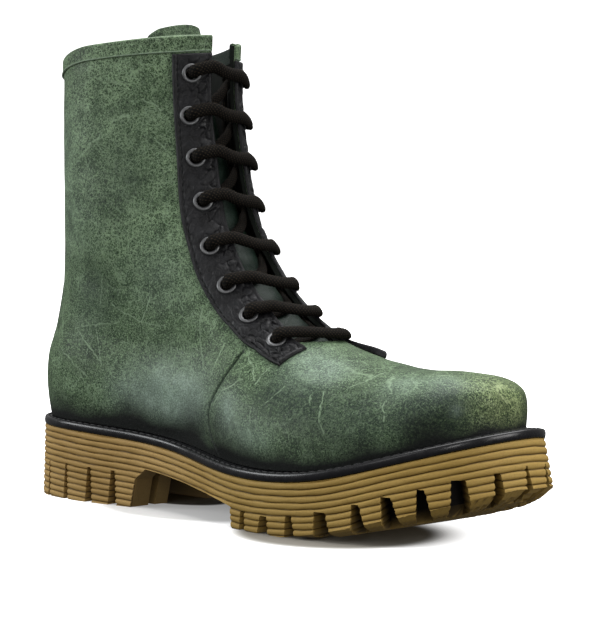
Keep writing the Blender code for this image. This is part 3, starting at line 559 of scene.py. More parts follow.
def joined(parts):
    V, by_size, n = [], {}, 0
    for v, faces in parts:
        V.append(v)
        for f in faces:
            by_size.setdefault(f.shape[1], []).append(f + n)
        n += len(v)
    return np.concatenate(V), [np.concatenate(f) for f in by_size.values()]


def frames(path, up):
    T = np.gradient(path, axis=0)
    T /= np.linalg.norm(T, axis=1)[:, None]
    a = np.cross(T, up)
    a /= np.linalg.norm(a, axis=1)[:, None]
    return T, a, np.cross(a, T)


def capsule(p, q, up, radius, sides=6):
    """One stitch: a short rounded thread."""
    d = q - p
    L = np.linalg.norm(d)
    t = d / L
    a = np.cross(t, up)
    a /= np.linalg.norm(a)
    b = np.cross(a, t)
    ang = np.arange(sides) * 2 * np.pi / sides
    ring = np.cos(ang)[:, None] * a + np.sin(ang)[:, None] * b
    rows = [p + t * L * s + ring * radius * k for s, k in ((0.0, 0.25), (0.1, 0.8), (0.5, 1.0), (0.9, 0.8), (1.0, 0.25))]
    return rail(rows, False)


def stitch_row(P, N, length, gap, radius, sink=0.15):
    """Stitches along a line of points with outward directions."""
    s = chord(P)
    n = max(1, int(s[-1] // (length + gap)))
    step = s[-1] / n
    share = length / (length + gap)
    out = []

    def at(v, X):
        return np.array([np.interp(v, s, X[:, i]) for i in range(3)])
    for i in range(n):
        a, b = i * step, i * step + step * share
        up = at((a + b) / 2, N)
        up /= np.linalg.norm(up)
        out.append(capsule(at(a, P) + up * (radius - sink), at(b, P) + up * (radius - sink), up, radius))
    return out


# ------------------------------------------------------------------ materials
class Nodes:
    def __init__(self, name):
        self.mat = bpy.data.materials.new(name)
        self.mat.use_nodes = True
        self.tree = self.mat.node_tree
        self.bsdf = self.tree.nodes["Principled BSDF"]
        MATERIALS[name] = self.mat

    def new(self, kind, **props):
        n = self.tree.nodes.new(kind)
        for k, v in props.items():
            setattr(n, k, v)
        return n

    def wire(self, a, b):
        self.tree.links.new(a, b)

    def feed(self, socket, value):
        if hasattr(value, "is_output"):
            self.wire(value, socket)
        else:
            socket.default_value = value

    def mm(self):
        """Object coordinates in millimetres."""
        c = self.new("ShaderNodeTexCoord")
        return self.vec("MULTIPLY", c.outputs["Object"], (1000.0, 1000.0, 1000.0))

    def vec(self, op, a, b):
        n = self.new("ShaderNodeVectorMath", operation=op)
        self.feed(n.inputs[0], a)
        self.feed(n.inputs[1], b)
        return n.outputs[0]

    def math(self, op, a, b=0.0, c=0.0, clamp=False):
        n = self.new("ShaderNodeMath", operation=op, use_clamp=clamp)
        for s, v in zip(n.inputs, (a, b, c)):
            self.feed(s, v)
        return n.outputs[0]

    def noise(self, at, scale, detail=2.0, rough=0.5, distortion=0.0, colour=False):
        n = self.new("ShaderNodeTexNoise")
        self.feed(n.inputs["Vector"], at)
        n.inputs["Scale"].default_value = scale
        n.inputs["Detail"].default_value = detail
        n.inputs["Roughness"].default_value = rough
        n.inputs["Distortion"].default_value = distortion
        return n.outputs["Color" if colour else "Fac"]

    def cells(self, at, scale, feature="DISTANCE_TO_EDGE", out="Distance"):
        n = self.new("ShaderNodeTexVoronoi", feature=feature)
        self.feed(n.inputs["Vector"], at)
        n.inputs["Scale"].default_value = scale
        return n.outputs[out]

    def span(self, value, a, b, lo=0.0, hi=1.0):
        """value from a..b to lo..hi, smooth and held at the ends."""
        n = self.new("ShaderNodeMapRange", interpolation_type="SMOOTHSTEP")
        self.feed(n.inputs["Value"], value)
        for key, v in (("From Min", a), ("From Max", b), ("To Min", lo), ("To Max", hi)):
            n.inputs[key].default_value = v
        return n.outputs["Result"]

    def mix(self, fac, a, b, how="MIX"):
        n = self.new("ShaderNodeMix", data_type="RGBA", blend_type=how)
        self.feed(n.inputs["Factor"], fac)
        self.feed(n.inputs[6], a)
        self.feed(n.inputs[7], b)
        return n.outputs[2]

    def attr(self, name):
        return self.new("ShaderNodeAttribute", attribute_name=name).outputs["Fac"]

    def bump(self, height, strength, distance, normal=None):
        n = self.new("ShaderNodeBump")
        n.inputs["Strength"].default_value = strength
        n.inputs["Distance"].default_value = distance
        self.feed(n.inputs["Height"], height)
        if normal is not None:
            self.wire(normal, n.inputs["Normal"])
        return n.outputs["Normal"]

    def set(self, **values):
        for k, v in values.items():
            self.feed(self.bsdf.inputs[k.replace("_", " ")], v)


def rgb(r, g, b):
    return (r, g, b, 1.0)


def scratches(m, at):
    """Scratches on the outer side, as a share of pale colour."""
    wob = m.vec("SUBTRACT", m.noise(at, 0.16, 2.0, colour=True), (0.5, 0.5, 0.5))
    p = m.vec("MULTIPLY", m.vec("ADD", at, m.vec("MULTIPLY", wob, (4.0, 4.0, 4.0))), (1.0, 0.0, 1.0))
    total = None
    for x0, z0, x1, z1, half, strength in SCRATCHES:
        a = (x0 + PLACE[0], 0.0, z0)
        d = np.array([x1 - x0, 0.0, z1 - z0])
        rel = m.vec("SUBTRACT", p, a)
        dot = m.new("ShaderNodeVectorMath", operation="DOT_PRODUCT")
        m.feed(dot.inputs[0], rel)
        dot.inputs[1].default_value = tuple(d / (d @ d))
        share = m.math("MULTIPLY", dot.outputs["Value"], 1.0, clamp=True)
        run = m.new("ShaderNodeVectorMath", operation="SCALE")
        run.inputs[0].default_value = tuple(d)
        m.wire(share, run.inputs["Scale"])
        gap = m.new("ShaderNodeVectorMath", operation="DISTANCE")
        m.feed(gap.inputs[0], rel)
        m.wire(run.outputs[0], gap.inputs[1])
        on = m.span(gap.outputs["Value"], half * 1.9, half * 0.4, 0.0, 1.75 * strength)
        total = on if total is None else m.math("MAXIMUM", total, on)
    side = m.new("ShaderNodeSeparateXYZ")
    m.feed(side.inputs[0], at)
    total = m.math("MULTIPLY", total, m.span(side.outputs["Y"], 16.0, 4.0))
    return m.math("MULTIPLY", total, m.span(m.noise(at, 0.55, 3.0), 0.34, 0.56, 0.25, 1.0))


def make_materials():
    # green pull-up leather: mottled grain, fine pale cracks, listed scratches
    m = Nodes("green_leather")
    at = m.mm()
    xyz = m.new("ShaderNodeSeparateXYZ")
    m.feed(xyz.inputs[0], at)
    high = m.span(xyz.outputs["Z"], 85.0, 150.0)
    drift = m.vec("SUBTRACT", m.noise(at, 0.35, 3.0, colour=True), (0.5, 0.5, 0.5))
    warped = m.vec("ADD", at, m.vec("MULTIPLY", drift, (4.0, 4.0, 4.0)))
    grain = m.noise(at, 0.66, 3.0, 0.70)
    speck = m.noise(at, 1.35, 1.0, 0.60)
    broad = m.noise(at, 0.020, 3.0, 0.55)
    patch = m.noise(at, 0.085, 4.0, 0.6)
    tone = m.math("ADD", m.math("MULTIPLY", grain, 0.50), m.math("MULTIPLY", speck, 0.32))
    tone = m.math("ADD", tone, m.math("MULTIPLY", patch, 0.18))
    tone = m.math("ADD", tone, m.math("MULTIPLY", m.math("SUBTRACT", broad, 0.5), 0.20))
    base = m.mix(m.span(tone, 0.40, 0.62), rgb(0.0042, 0.0175, 0.0050), rgb(0.034, 0.073, 0.027))
    # pale grains, and a crack network: coarse and clear on the shaft, fine and faint on the foot
    seed = m.noise(at, 1.20, 2.0, 0.72)
    base = m.mix(m.math("MULTIPLY", m.span(seed, 0.50, 0.64), m.math("SUBTRACT", 0.80, m.math("MULTIPLY", high, 0.12))), base,
                 rgb(0.262, 0.400, 0.210))
    fray = m.vec("SUBTRACT", m.noise(at, 0.75, 2.0, colour=True), (0.5, 0.5, 0.5))
    frayed = m.vec("ADD", warped, m.vec("MULTIPLY", fray, (2.2, 2.2, 2.2)))
    net = m.cells(frayed, 0.40)
    fine = m.cells(warped, 0.80)
    lines = m.math("MAXIMUM", m.math("MULTIPLY", m.span(net, 0.10, 0.015), m.math("ADD", 0.24, m.math("MULTIPLY", high, 0.52))),
                   m.math("MULTIPLY", m.span(fine, 0.13, 0.02), 0.34))
    lines = m.math("MULTIPLY", lines, m.span(patch, 0.36, 0.58, 0.30, 1.0))
    base = m.mix(lines, base, rgb(0.365, 0.520, 0.300))
    long = m.cells(m.vec("ADD", at, m.vec("MULTIPLY", drift, (6.0, 6.0, 6.0))), 0.115)
    long_on = m.span(m.noise(at, 0.075, 2.0), 0.48, 0.60)
    base = m.mix(m.math("MULTIPLY", m.math("MULTIPLY", m.span(long, 0.045, 0.008), long_on), 0.60), base, rgb(0.31, 0.45, 0.27))
    hair = m.cells(m.vec("ADD", at, m.vec("MULTIPLY", drift, (9.0, 9.0, 9.0))), 0.085)
    hair_on = m.span(m.noise(at, 0.05, 2.0), 0.46, 0.60)
    base = m.mix(m.math("MULTIPLY", m.math("MULTIPLY", m.span(hair, 0.030, 0.004), hair_on), 0.55), base, rgb(0.28, 0.40, 0.245))
    # darker blotches of the leather, and painted shade: on the vamp side and toe, on the tongue inside the throat and
    # on the inner face of the collar band; also a dark line along the vamp seam
    dark = m.attr("dark")
    base = m.mix(m.math("MULTIPLY", dark, m.span(grain, 0.62, 0.40, 0.60, 1.0), clamp=True), base, rgb(0.0065, 0.018, 0.011))
    base = m.mix(scratches(m, at), base, rgb(0.30, 0.42, 0.265))
    base = m.mix(m.math("MULTIPLY", m.attr("toe"), 1.5, clamp=True), base, m.mix(1.0, base, rgb(2.25, 1.85, 1.45), "MULTIPLY"))
    # painted highlight: pale patches standing in for the lamps' reflections; the roughness is lowered there too
    painted_highlight = m.attr("painted_highlight")
    base = m.mix(m.math("MULTIPLY", m.math("MULTIPLY", painted_highlight, m.span(patch, 0.34, 0.60, 0.70, 1.0)), m.span(seed, 0.38, 0.62, 0.52, 1.0)), base, rgb(0.38, 0.50, 0.42))
    # dark band above the welt: real burnish, and painted shade where the upper tucks in over the welt
    burnish_and_shade = m.math("MULTIPLY", m.attr("burnish_and_shade"), m.span(m.math("ADD", grain, m.math("MULTIPLY", m.attr("burnish_and_shade"), 0.55)), 0.42, 0.72), clamp=True)
    base = m.mix(burnish_and_shade, base, rgb(0.0025, 0.004, 0.003))
    base = m.mix(m.attr("worn"), base, rgb(0.34, 0.45, 0.30))
    rough = m.math("ADD", m.span(tone, 0.4, 0.62, 0.42, 0.58), m.math("MULTIPLY", burnish_and_shade, 0.15))
    rough = m.math("SUBTRACT", rough, m.math("MULTIPLY", painted_highlight, 0.10))
    m.set(Base_Color=base, Roughness=rough, Coat_Weight=0.04, Coat_Roughness=0.32, Specular_IOR_Level=0.27)
    height = m.math("ADD", m.math("MULTIPLY", m.math("ADD", grain, speck), 0.6), m.math("MULTIPLY", m.span(fine, 0.0, 0.14), 0.4))
    m.set(Normal=m.bump(height, 0.75, 0.00030))
    # lining: near black, darkened also as painted shade inside the boot
    m = Nodes("lining")
    at = m.mm()
    base = m.mix(m.noise(at, 0.3, 4.0), rgb(0.0045, 0.0052, 0.0045), rgb(0.012, 0.014, 0.011))
    m.set(Base_Color=base, Roughness=0.85, Specular_IOR_Level=0.2, Normal=m.bump(m.noise(at, 0.9, 3.0), 0.3, 0.0002))
    # cut edge of the leather
    m = Nodes("edge_dark")
    at = m.mm()
    m.set(Base_Color=m.mix(m.noise(at, 0.6, 3.0), rgb(0.0030, 0.0040, 0.0032), rgb(0.011, 0.015, 0.011)), Roughness=0.8,
          Specular_IOR_Level=0.2)
    # black facings
    m = Nodes("black_leather")
    at = m.mm()
    grain = m.noise(at, 0.9, 5.0, 0.65)
    soft = m.noise(at, 0.14, 3.0)
    drift = m.vec("SUBTRACT", m.noise(at, 0.12, 2.0, colour=True), (0.5, 0.5, 0.5))
    crack = m.cells(m.vec("ADD", at, m.vec("MULTIPLY", drift, (5.0, 5.0, 5.0))), 0.42)
    base = m.mix(m.span(soft, 0.36, 0.66), rgb(0.0036, 0.0036, 0.0044), rgb(0.0120, 0.0120, 0.0140))
    base = m.mix(m.math("MULTIPLY", m.span(grain, 0.52, 0.72), 0.30), base, rgb(0.030, 0.031, 0.033))
    base = m.mix(m.math("MULTIPLY", m.span(crack, 0.05, 0.0), 0.6), base, rgb(0.002, 0.002, 0.0025))
    m.set(Base_Color=base, Roughness=m.span(grain, 0.3, 0.7, 0.32, 0.52), Specular_IOR_Level=0.30)
    m.set(Normal=m.bump(m.math("ADD", m.math("MULTIPLY", grain, 0.6), m.span(crack, 0.0, 0.07)), 0.6, 0.00020))
    # welt
    m = Nodes("welt_gloss")
    at = m.mm()
    grain = m.noise(at, 0.25, 3.0)
    m.set(Base_Color=m.mix(grain, rgb(0.0035, 0.0035, 0.0045), rgb(0.009, 0.009, 0.011)), Roughness=m.span(grain, 0.3, 0.7, 0.20, 0.30),
          Normal=m.bump(grain, 0.04, 0.0003))
    # rubber sole
    m = Nodes("tan_rubber")
    at = m.mm()
    broad = m.noise(at, 0.03, 3.0)
    fine = m.noise(at, 1.1, 4.0, 0.6)
    ahead = m.new("ShaderNodeSeparateXYZ")
    m.feed(ahead.inputs[0], at)
    fore = m.span(ahead.outputs["X"], -60.0, 40.0)
    base = m.mix(m.span(broad, 0.3, 0.7), rgb(0.400, 0.250, 0.078), rgb(0.500, 0.325, 0.115))
    base = m.mix(fore, base, m.mix(m.span(broad, 0.3, 0.7), rgb(0.350, 0.225, 0.054), rgb(0.440, 0.290, 0.080)))
    base = m.mix(m.math("MULTIPLY", m.span(fine, 0.45, 0.75), 0.30), base, rgb(0.19, 0.115, 0.028))
    base = m.mix(m.attr("groove"), base, rgb(0.022, 0.010, 0.002))
    base = m.mix(m.attr("under"), base, rgb(0.008, 0.004, 0.0015))
    m.set(Base_Color=base, Roughness=0.62, Specular_IOR_Level=0.28, Normal=m.bump(fine, 0.25, 0.00015))
    # lace
    m = Nodes("lace_braid")
    uv = m.new("ShaderNodeUVMap", uv_map="run").outputs["UV"]
    at = m.mm()
    fibre = m.noise(m.vec("MULTIPLY", uv, (900.0, 60.0, 1.0)), 1.0, 2.0)
    # painted highlight on the crests of the braid's strands, and painted shade in the grooves between them
    crest = m.attr("crest")
    base = m.mix(m.span(crest, 0.55, 1.0), rgb(0.0010, 0.0008, 0.0006), rgb(0.042, 0.031, 0.020))
    base = m.mix(m.math("MULTIPLY", m.span(fibre, 0.5, 0.8), 0.16), base, rgb(0.070, 0.054, 0.038))
    m.set(Base_Color=base, Roughness=0.85, Specular_IOR_Level=0.16, Normal=m.bump(m.noise(at, 2.2, 2.0), 0.3, 0.0002))
    # eyelets
    m = Nodes("eyelet_nickel")
    at = m.mm()
    m.set(Base_Color=m.mix(m.noise(at, 0.8, 3.0), rgb(0.13, 0.131, 0.134), rgb(0.21, 0.212, 0.216)), Metallic=0.85,
          Roughness=m.span(m.noise(at, 1.4, 3.0), 0.3, 0.7, 0.34, 0.46))
    # threads
    for name, a, b in (("thread_black", (0.003, 0.003, 0.0035), (0.012, 0.012, 0.013)),
                       ("thread_green", (0.16, 0.24, 0.15), (0.30, 0.40, 0.28))):
        m = Nodes(name)
        at = m.mm()
        m.set(Base_Color=m.mix(m.noise(at, 1.6, 2.0), rgb(*a), rgb(*b)), Roughness=0.6)
    # footbed
    m = Nodes("footbed")
    at = m.mm()
    m.set(Base_Color=m.mix(m.noise(at, 0.5, 4.0), rgb(0.020, 0.019, 0.017), rgb(0.055, 0.050, 0.044)), Roughness=0.9,
          Normal=m.bump(m.noise(at, 1.5, 2.0), 0.4, 0.0003))
    # floor and the white wall behind: the floor's colour is darkened in three ellipses around the boot as a painted
    # shadow, and it glows white outside them
    m = Nodes("floor_white")
    at = m.mm()
    near = None
    for mid, size, much in (((64.0, -24.0, 0.0), (56.0, 60.0, 1.0), 1.0), ((-40.0, -15.0, 0.0), (66.0, 52.0, 1.0), 0.75),
                            ((-72.0, 5.0, 0.0), (38.0, 26.0, 1.0), 1.0)):
        d = m.vec("DIVIDE", m.vec("SUBTRACT", at, mid), size)
        far = m.new("ShaderNodeVectorMath", operation="LENGTH")
        m.wire(d, far.inputs[0])
        on = m.span(far.outputs["Value"], 1.14, 0.72, 0.0, much)
        near = on if near is None else m.math("MAXIMUM", near, on)
    m.set(Base_Color=m.mix(m.span(near, 0.55, 1.0), m.mix(m.noise(at, 0.004, 2.0), rgb(0.88, 0.88, 0.88), rgb(0.91, 0.91, 0.91)), rgb(0.27, 0.255, 0.225)), Roughness=0.9,
          Specular_IOR_Level=0.05, Emission_Color=m.mix(near, rgb(1.0, 1.0, 1.0), rgb(0.0, 0.0, 0.0)), Emission_Strength=1.0)
    m = Nodes("wall_white")
    m.set(Base_Color=rgb(0.9, 0.9, 0.9), Emission_Color=rgb(1.0, 1.0, 1.0), Emission_Strength=1.2)


# ------------------------------------------------------------------ the upper
seam_x = cubic([r[0] for r in SEAM], [r[1] for r in SEAM])
SEAM_COLUMN, SEAM_TOP = {}, 0.345
for _side in (-1, 1):
    _c = np.linspace(1.03, 1.995, 240)
    _rows = []
    for _w in TABLE_W:
        _P = on_upper(_side, _w, _c)
        _rows.append(min(1.975, float(np.interp(0.0, _P[:, 0] - seam_x(_P[:, 2]), _c))))
    _rows = np.array(_rows)
    if _side < 0:
        SEAM_TOP = float(TABLE_W[int(np.argmax(_rows >= 1.974))]) if (_rows >= 1.974).any() else 0.345
    _rows += (1.72 - _rows) * smooth(SEAM_TOP + 0.012, 0.54, TABLE_W)
    for _ in range(3):
        _rows[1:-1] = (_rows[:-2] + 2 * _rows[1:-1] + _rows[2:]) / 4
    SEAM_COLUMN[_side] = _rows
print("seam top", round(SEAM_TOP, 3))


def seam_column(side, w):
    """Column of the vamp seam, eased back to the middle above it."""
    return np.interp(w, TABLE_W, SEAM_COLUMN[side])


def upper_columns(side, w):
    """Columns of one row: fine lines beside the seam."""
    span = np.interp(w, TABLE_W, MIDSPAN[side])
    cs = seam_column(side, w)
    half = np.minimum(6.0 / span, (2 - cs) * 0.8)
    knots = [0.0, 1.0, cs - half, cs + half, 2.0, 3.0, 4.0]
    cells = [14, 36, 24, 24, 26, 16]
    out = [np.linspace(a, b, n, endpoint=False) for a, b, n in zip(knots[:-1], knots[1:], cells)]
    return np.r_[tuple(out) + ([4.0],)]


def polyline_distance(P, L):
    """Distance to a line and share along it."""
    best = np.full(len(P), 1e9)
    share = np.zeros(len(P))
    s = chord(L)
    for i in range(len(L) - 1):
        d = L[i + 1] - L[i]
        if d @ d < 1e-9:
            continue
        t = np.clip(((P - L[i]) @ d) / (d @ d), 0, 1)
        q = np.linalg.norm(P - (L[i] + t[:, None] * d), axis=1)
        m = q < best
        best[m], share[m] = q[m], (s[i] + t[m] * (s[i + 1] - s[i])) / s[-1]
    return best, share


def waves(P, seed, size, count=9):
    """Slow unevenness of hand-lasted leather, about -1 to 1."""
    rng = np.random.default_rng(seed)
    out = np.zeros(len(P))
    for _ in range(count):
        k = rng.normal(size=3)
        k *= 2 * np.pi / (np.linalg.norm(k) * size * rng.uniform(0.7, 1.6))
        out += np.sin(P @ k + rng.uniform(0, 6.28))
    return out / math.sqrt(count)


def leather_shape(side, W, C, P):
    """How far the leather stands out of the last: creases, seam, unevenness."""
    flat = P.reshape(-1, 3)
    w, c = W.ravel(), C.ravel()
    d = 0.30 * waves(flat, 3, 46.0) + 0.10 * waves(flat, 5, 17.0)
    for cs, x0, z0, x1, z1, bow, width, depth in CREASES:
        if cs != side:
            continue
        t = np.linspace(0, 1, 15)
        dx, dz = x1 - x0, z1 - z0
        L = math.hypot(dx, dz)
        lx = x0 + dx * t - dz / L * bow * np.sin(np.pi * t)
        lz = z0 + dz * t + dx / L * bow * np.sin(np.pi * t)
        near = [int(np.argmin((flat[:, 0] - a)**2 + (flat[:, 2] - b)**2 + np.where(c < 3.0, 0, 1e4))) for a, b in zip(lx, lz)]
        q, share = polyline_distance(flat, flat[near])
        fade = np.sin(np.pi * np.clip(share, 0.02, 0.98))**0.7
        d += depth * fade * (-np.exp(-(q / width)**2) + 0.55 * np.exp(-((q - 1.8 * width) / (0.9 * width))**2))
    # vamp seam: a groove, the quarter's edge behind it and the fuller vamp in front
    ws = np.linspace(0.0, SEAM_TOP, 90)
    line = on_upper(side, ws, seam_column(side, ws))
    q, share = polyline_distance(flat, line)
    front = np.where(c > seam_column(side, w), q, -q)
    fade = 1 - smooth(SEAM_TOP - 0.012, SEAM_TOP + 0.004, w)
    d += fade * (-0.62 * np.exp(-(q / 0.60)**2) + 0.34 * np.exp(-((front + 1.6) / 1.0)**2)
                 + 0.55 * smooth(0.2, 2.0, front) * (1 - smooth(6.0, 26.0, front))
                 - 0.22 * np.exp(-((front + 3.1) / 0.6)**2) * (1 - smooth(0.10, 0.20, w)))
    # flat where other pieces lie on it and at the edges
    under = np.maximum(smooth(1.93, 2.0, c) * smooth(0.275, 0.30, w), smooth(0.945, 0.965, w))
    under = np.maximum(under, (1 - smooth(1.0, 1.08, c)) * (1 - smooth(LOOP_BACKSTAY, LOOP_BACKSTAY + 0.03, w)))
    d = np.where(d > 0, d * (1 - under), d * (1 - 0.6 * under))
    d *= smooth(0.0, 0.03, w) * 0.85 + 0.15
    return d.reshape(W.shape)


def sag(side, W, C):
    """The far front corner of the collar and its back hang a little lower."""
    return smooth(0.88, 1.0, W) * ((3.0 * smooth(1.9, 2.8, C) if side > 0 else 0.0) + 4.5 * (1 - smooth(1.02, 1.50, C)))


def around(a, b):
    return np.concatenate([a, b[:, -2:0:-1]], axis=1)


def make_upper():
    rows = np.r_[np.linspace(0, LOOP_THROAT, 83)[:-1], np.linspace(LOOP_THROAT, 1, 159)]
    base, shape, cols = [], [], []
    for side in (-1, 1):
        C = np.array([upper_columns(side, w) for w in rows])
        W = np.broadcast_to(rows[:, None], C.shape)
        base.append(on_upper(side, W, C))
        base[-1][..., 2] -= sag(side, W, C) * (1 - smooth(3.2, 3.9, C))
        cols.append(C)
        shape.append(leather_shape(side, W, C, base[-1])[..., None])
    for k in (0, -1):
        shape[0][:, k] = shape[1][:, k] = (shape[0][:, k] + shape[1][:, k]) / 2
    P, d, C = around(*base), around(*shape), around(*cols)
    N = steadied(P, grid_normals(P), np.broadcast_to(rows[:, None], C.shape), C)
    outer, inner = P + N * d, (P - N * WALL)[::2, ::2]
    half = inner.shape[1] // 2
    keep = np.ones((inner.shape[0] - 1, 2 * half), bool)
    throat = int(np.argmin(np.abs(rows - LOOP_THROAT))) // 2
    keep[throat:, half - 8:half + 8] = False
    V, F = skin(outer, inner, keep, wrap=True)
    ob = put("upper_leather", V, F, ["green_leather", "lining", "edge_dark"],
             [np.zeros(len(F[0])), np.ones(len(F[1])), np.full(len(F[2]), 2)], angle=60)
    subtract(ob, eyelet_cutters("holes_a", "edge_dark"), angle=60)
    P = points_of(ob)
    # dark band above the welt: burnish, and painted shade where the upper undercuts, tallest at the waist
    h = P[:, 2] - feather(P[:, 0])
    reach = np.interp(P[:, 0], [-150, -110, -70, -30, 0, 25, 60, 100, 130, 150], [6, 8, 11, 16, 14, 9, 7, 7, 8, 8])
    reach = reach * (1 + 0.35 * waves(P, 11, 22.0))
    paint(ob, "burnish_and_shade", np.clip(1.40 * np.exp(-np.maximum(h, 0) / np.maximum(reach, 1.5)), 0, 1))
    tip = np.array([141.0, 13.0, 61.5])
    paint(ob, "toe", 0.62 * np.exp(-(np.linalg.norm((P - tip) * (1.0, 0.8, 1.0), axis=1) / 23.0)**2))
    # darker blotches and painted shade on the vamp side and toe, mirrored to both sides, then a dark line along the
    # vamp seam
    dark = np.zeros(len(P))
    for x, y, z, spread, much in BLOTCHES_AND_SHADE:
        for flip in (1, -1):
            dark += much * np.exp(-(((P - (x, flip * y, z))**2).sum(1)) / spread**2)
    for side in (-1, 1):
        ws = np.linspace(0.0, SEAM_TOP - 0.004, 90)
        q = polyline_distance(P, on_upper(side, ws, seam_column(side, ws)))[0]
        dark = np.maximum(dark, 1.0 * np.exp(-(np.maximum(q - 0.55, 0) / 0.40)**2))
    paint(ob, "dark", np.clip(dark, 0, 0.9))
    # painted highlights, pale patches where the lamps reflect
    painted_highlight = np.zeros(len(P))
    for x, y, z, spread, much in PAINTED_HIGHLIGHTS:
        painted_highlight += much * np.exp(-(((P - (x, y, z))**2).sum(1)) / spread**2)
    paint(ob, "painted_highlight", np.clip(painted_highlight, 0, 0.85))
    paint(ob, "worn", np.zeros(len(P)))
    return ob


def eyelet_frame(side, w, distance):
    c = column_of(np.array(w), np.array(distance))
    return on_upper(side, w, c), normal_at(side, w, c)


def turned(p, n, profile, sides):
    a = np.cross(n, (0.0, 0.0, 1.0))
    a /= np.linalg.norm(a)
    b = np.cross(n, a)
    ang = np.arange(sides) * 2 * np.pi / sides
    prof = np.array(profile)
    ring = np.cos(ang)[:, None] * a + np.sin(ang)[:, None] * b
    return p + n * prof[None, :, 1, None] + ring[:, None, :] * prof[None, :, 0, None]


def eyelet_cutters(name, mat):
    parts = []
    for side in (-1, 1):
        for w, d in EYELETS:
            p, n = eyelet_frame(side, w, d)
            rings = turned(p, n, [(EYELET_HOLE - 0.1, -6.0), (EYELET_HOLE - 0.1, 6.0)], 24)
            parts.append(rail(rings.transpose(1, 0, 2), False))
    return put(name, *joined(parts), [mat], angle=0)


# ------------------------------------------------------------------ facings
def scales(u, v, seed):
    """Cracked plates: width of the crack at hand, 0 in it, and each plate's own tilt."""
    rng = np.random.default_rng(seed)
    su, sv = 4.6, 6.6
    nu, nv = int(60 / su) + 6, int(270 / sv) + 6
    gu = (np.arange(nu)[:, None] + rng.uniform(-0.38, 0.38, (nu, nv))) * su - 8
    gv = (np.arange(nv)[None, :] + rng.uniform(-0.38, 0.38, (nu, nv)) + 0.5 * (np.arange(nu)[:, None] % 2)) * sv - 12
    S = np.c_[gu.ravel(), gv.ravel()]
    lean = rng.normal(0.0, 0.100, (len(S), 2))
    P = np.c_[u.ravel(), v.ravel()]
    P = P + 0.7 * np.c_[np.sin(P[:, 1] * 0.85 + P[:, 0] * 0.3), np.sin(P[:, 0] * 1.0 - P[:, 1] * 0.2)]
    gap, tilt = np.empty(len(P)), np.empty(len(P))
    for i in range(0, len(P), 4000):
        q = P[i:i + 4000]
        r = np.sqrt(((q[:, None] - S[None])**2).sum(-1))
        k = r.argmin(1)
        tilt[i:i + 4000] = ((q - S[k]) * lean[k]).sum(1)
        r.partition(1, axis=1)
        gap[i:i + 4000] = r[:, 1] - r[:, 0]
    return gap.reshape(u.shape), np.clip(tilt, -0.36, 0.36).reshape(u.shape)


def make_facing(side, name):
    R, K = 401, 73
    u = np.linspace(0, 1, K)
    u = u - 0.055 * np.sin(2 * np.pi * u)
    t = np.linspace(0, 1, R)
    bottom = 0.276 + 0.046 * u**0.9 if side < 0 else 0.276 - 0.004 * u
    top = LOOP_BAND + 0.0005 + 0.0025 * u
    W = bottom[None, :] + (top - bottom)[None, :] * t[:, None]
    edge, stay = np.moveaxis(throat_at(W), -1, 0)
    if side > 0:
        edge = edge - 13.0 * np.exp(-((W - 0.280) / 0.050)**2)
    D = stay + (edge - stay) * u[None, :]
    C = column_of(W, D)
    P = on_upper(side, W, C)
    P[..., 2] -= sag(side, W, C)
    N = steadied(P, normal_at(side, W, C), W, C) if side > 0 else normal_at(side, W, C)
    run = np.r_[np.zeros((1, K)), np.cumsum(np.linalg.norm(np.diff(P, axis=0), axis=2), axis=0)]
    across = stay - D
    width = stay - edge
    e = np.minimum(np.minimum(across, width - across), np.minimum(run, run[-1:] - run))
    crack, tilt = scales(across, run, 20 + side)
    share = np.clip(across / width, 0, 1)
    much = np.maximum(0.35 + 0.80 * smooth(0.35, 0.75, share), 1.5 * (1 - smooth(18.0, 45.0, run))) * smooth(1.5, 3.5, e)
    lift = STAY_THICK * np.sqrt(1 - (1 - np.clip(e / 1.1, 0, 1))**2 * 0.96)
    lift = lift + much * (tilt - 0.46 * np.exp(-(crack / 0.55)**2) + 0.12 * smooth(0.3, 2.5, crack))
    lift = lift - 0.55 * np.exp(-((across - 2.5) / 0.50)**2) - 0.34 * np.exp(-((width - across - 2.7) / 0.55)**2) \
        + 0.35 * np.exp(-((width - across - 1.2) / 0.9)**2) * smooth(0.0, 0.8, width - across)
    if side > 0:
        lift = lift + 1.7 * np.exp(-((W - 0.290) / 0.035)**2) * share**3
    bulge = np.zeros_like(lift)
    for w, d in EYELETS:
        q = np.linalg.norm(P - on_upper(side, w, column_of(np.array(w), np.array(d))), axis=2)
        lift = np.where(q < 7.0, lift + (STAY_THICK - 0.05 - lift) * (1 - smooth(4.6, 6.6, q)), lift)
        bulge += 0.22 * np.exp(-((q - 7.5) / 2.0)**2)
    hi = P + N * (FIT + lift + bulge)[..., None]
    lo = (P + N * FIT)[::2, ::2]
    V, F = skin(hi, lo)
    ob = put(name, V, F, ["black_leather", "lining"],
             [np.zeros(len(F[0])), np.ones(len(F[1])), np.zeros(len(F[2]))], angle=55)
    subtract(ob, eyelet_cutters("holes_" + name, "black_leather"), angle=55)
    # stitches in the line beside the outer edge
    k_of = [int(np.argmin(np.abs(across[r] - 2.5))) for r in range(R)]
    line = np.array([hi[r, k_of[r]] for r in range(R)])[8:-4][::3]
    norm = np.array([N[r, k_of[r]] for r in range(R)])[8:-4][::3]
    for _ in range(6):
        line[1:-1] = (line[:-2] + 2 * line[1:-1] + line[2:]) / 4
    return ob, stitch_row(line, norm, 2.5, 0.9, 0.34)


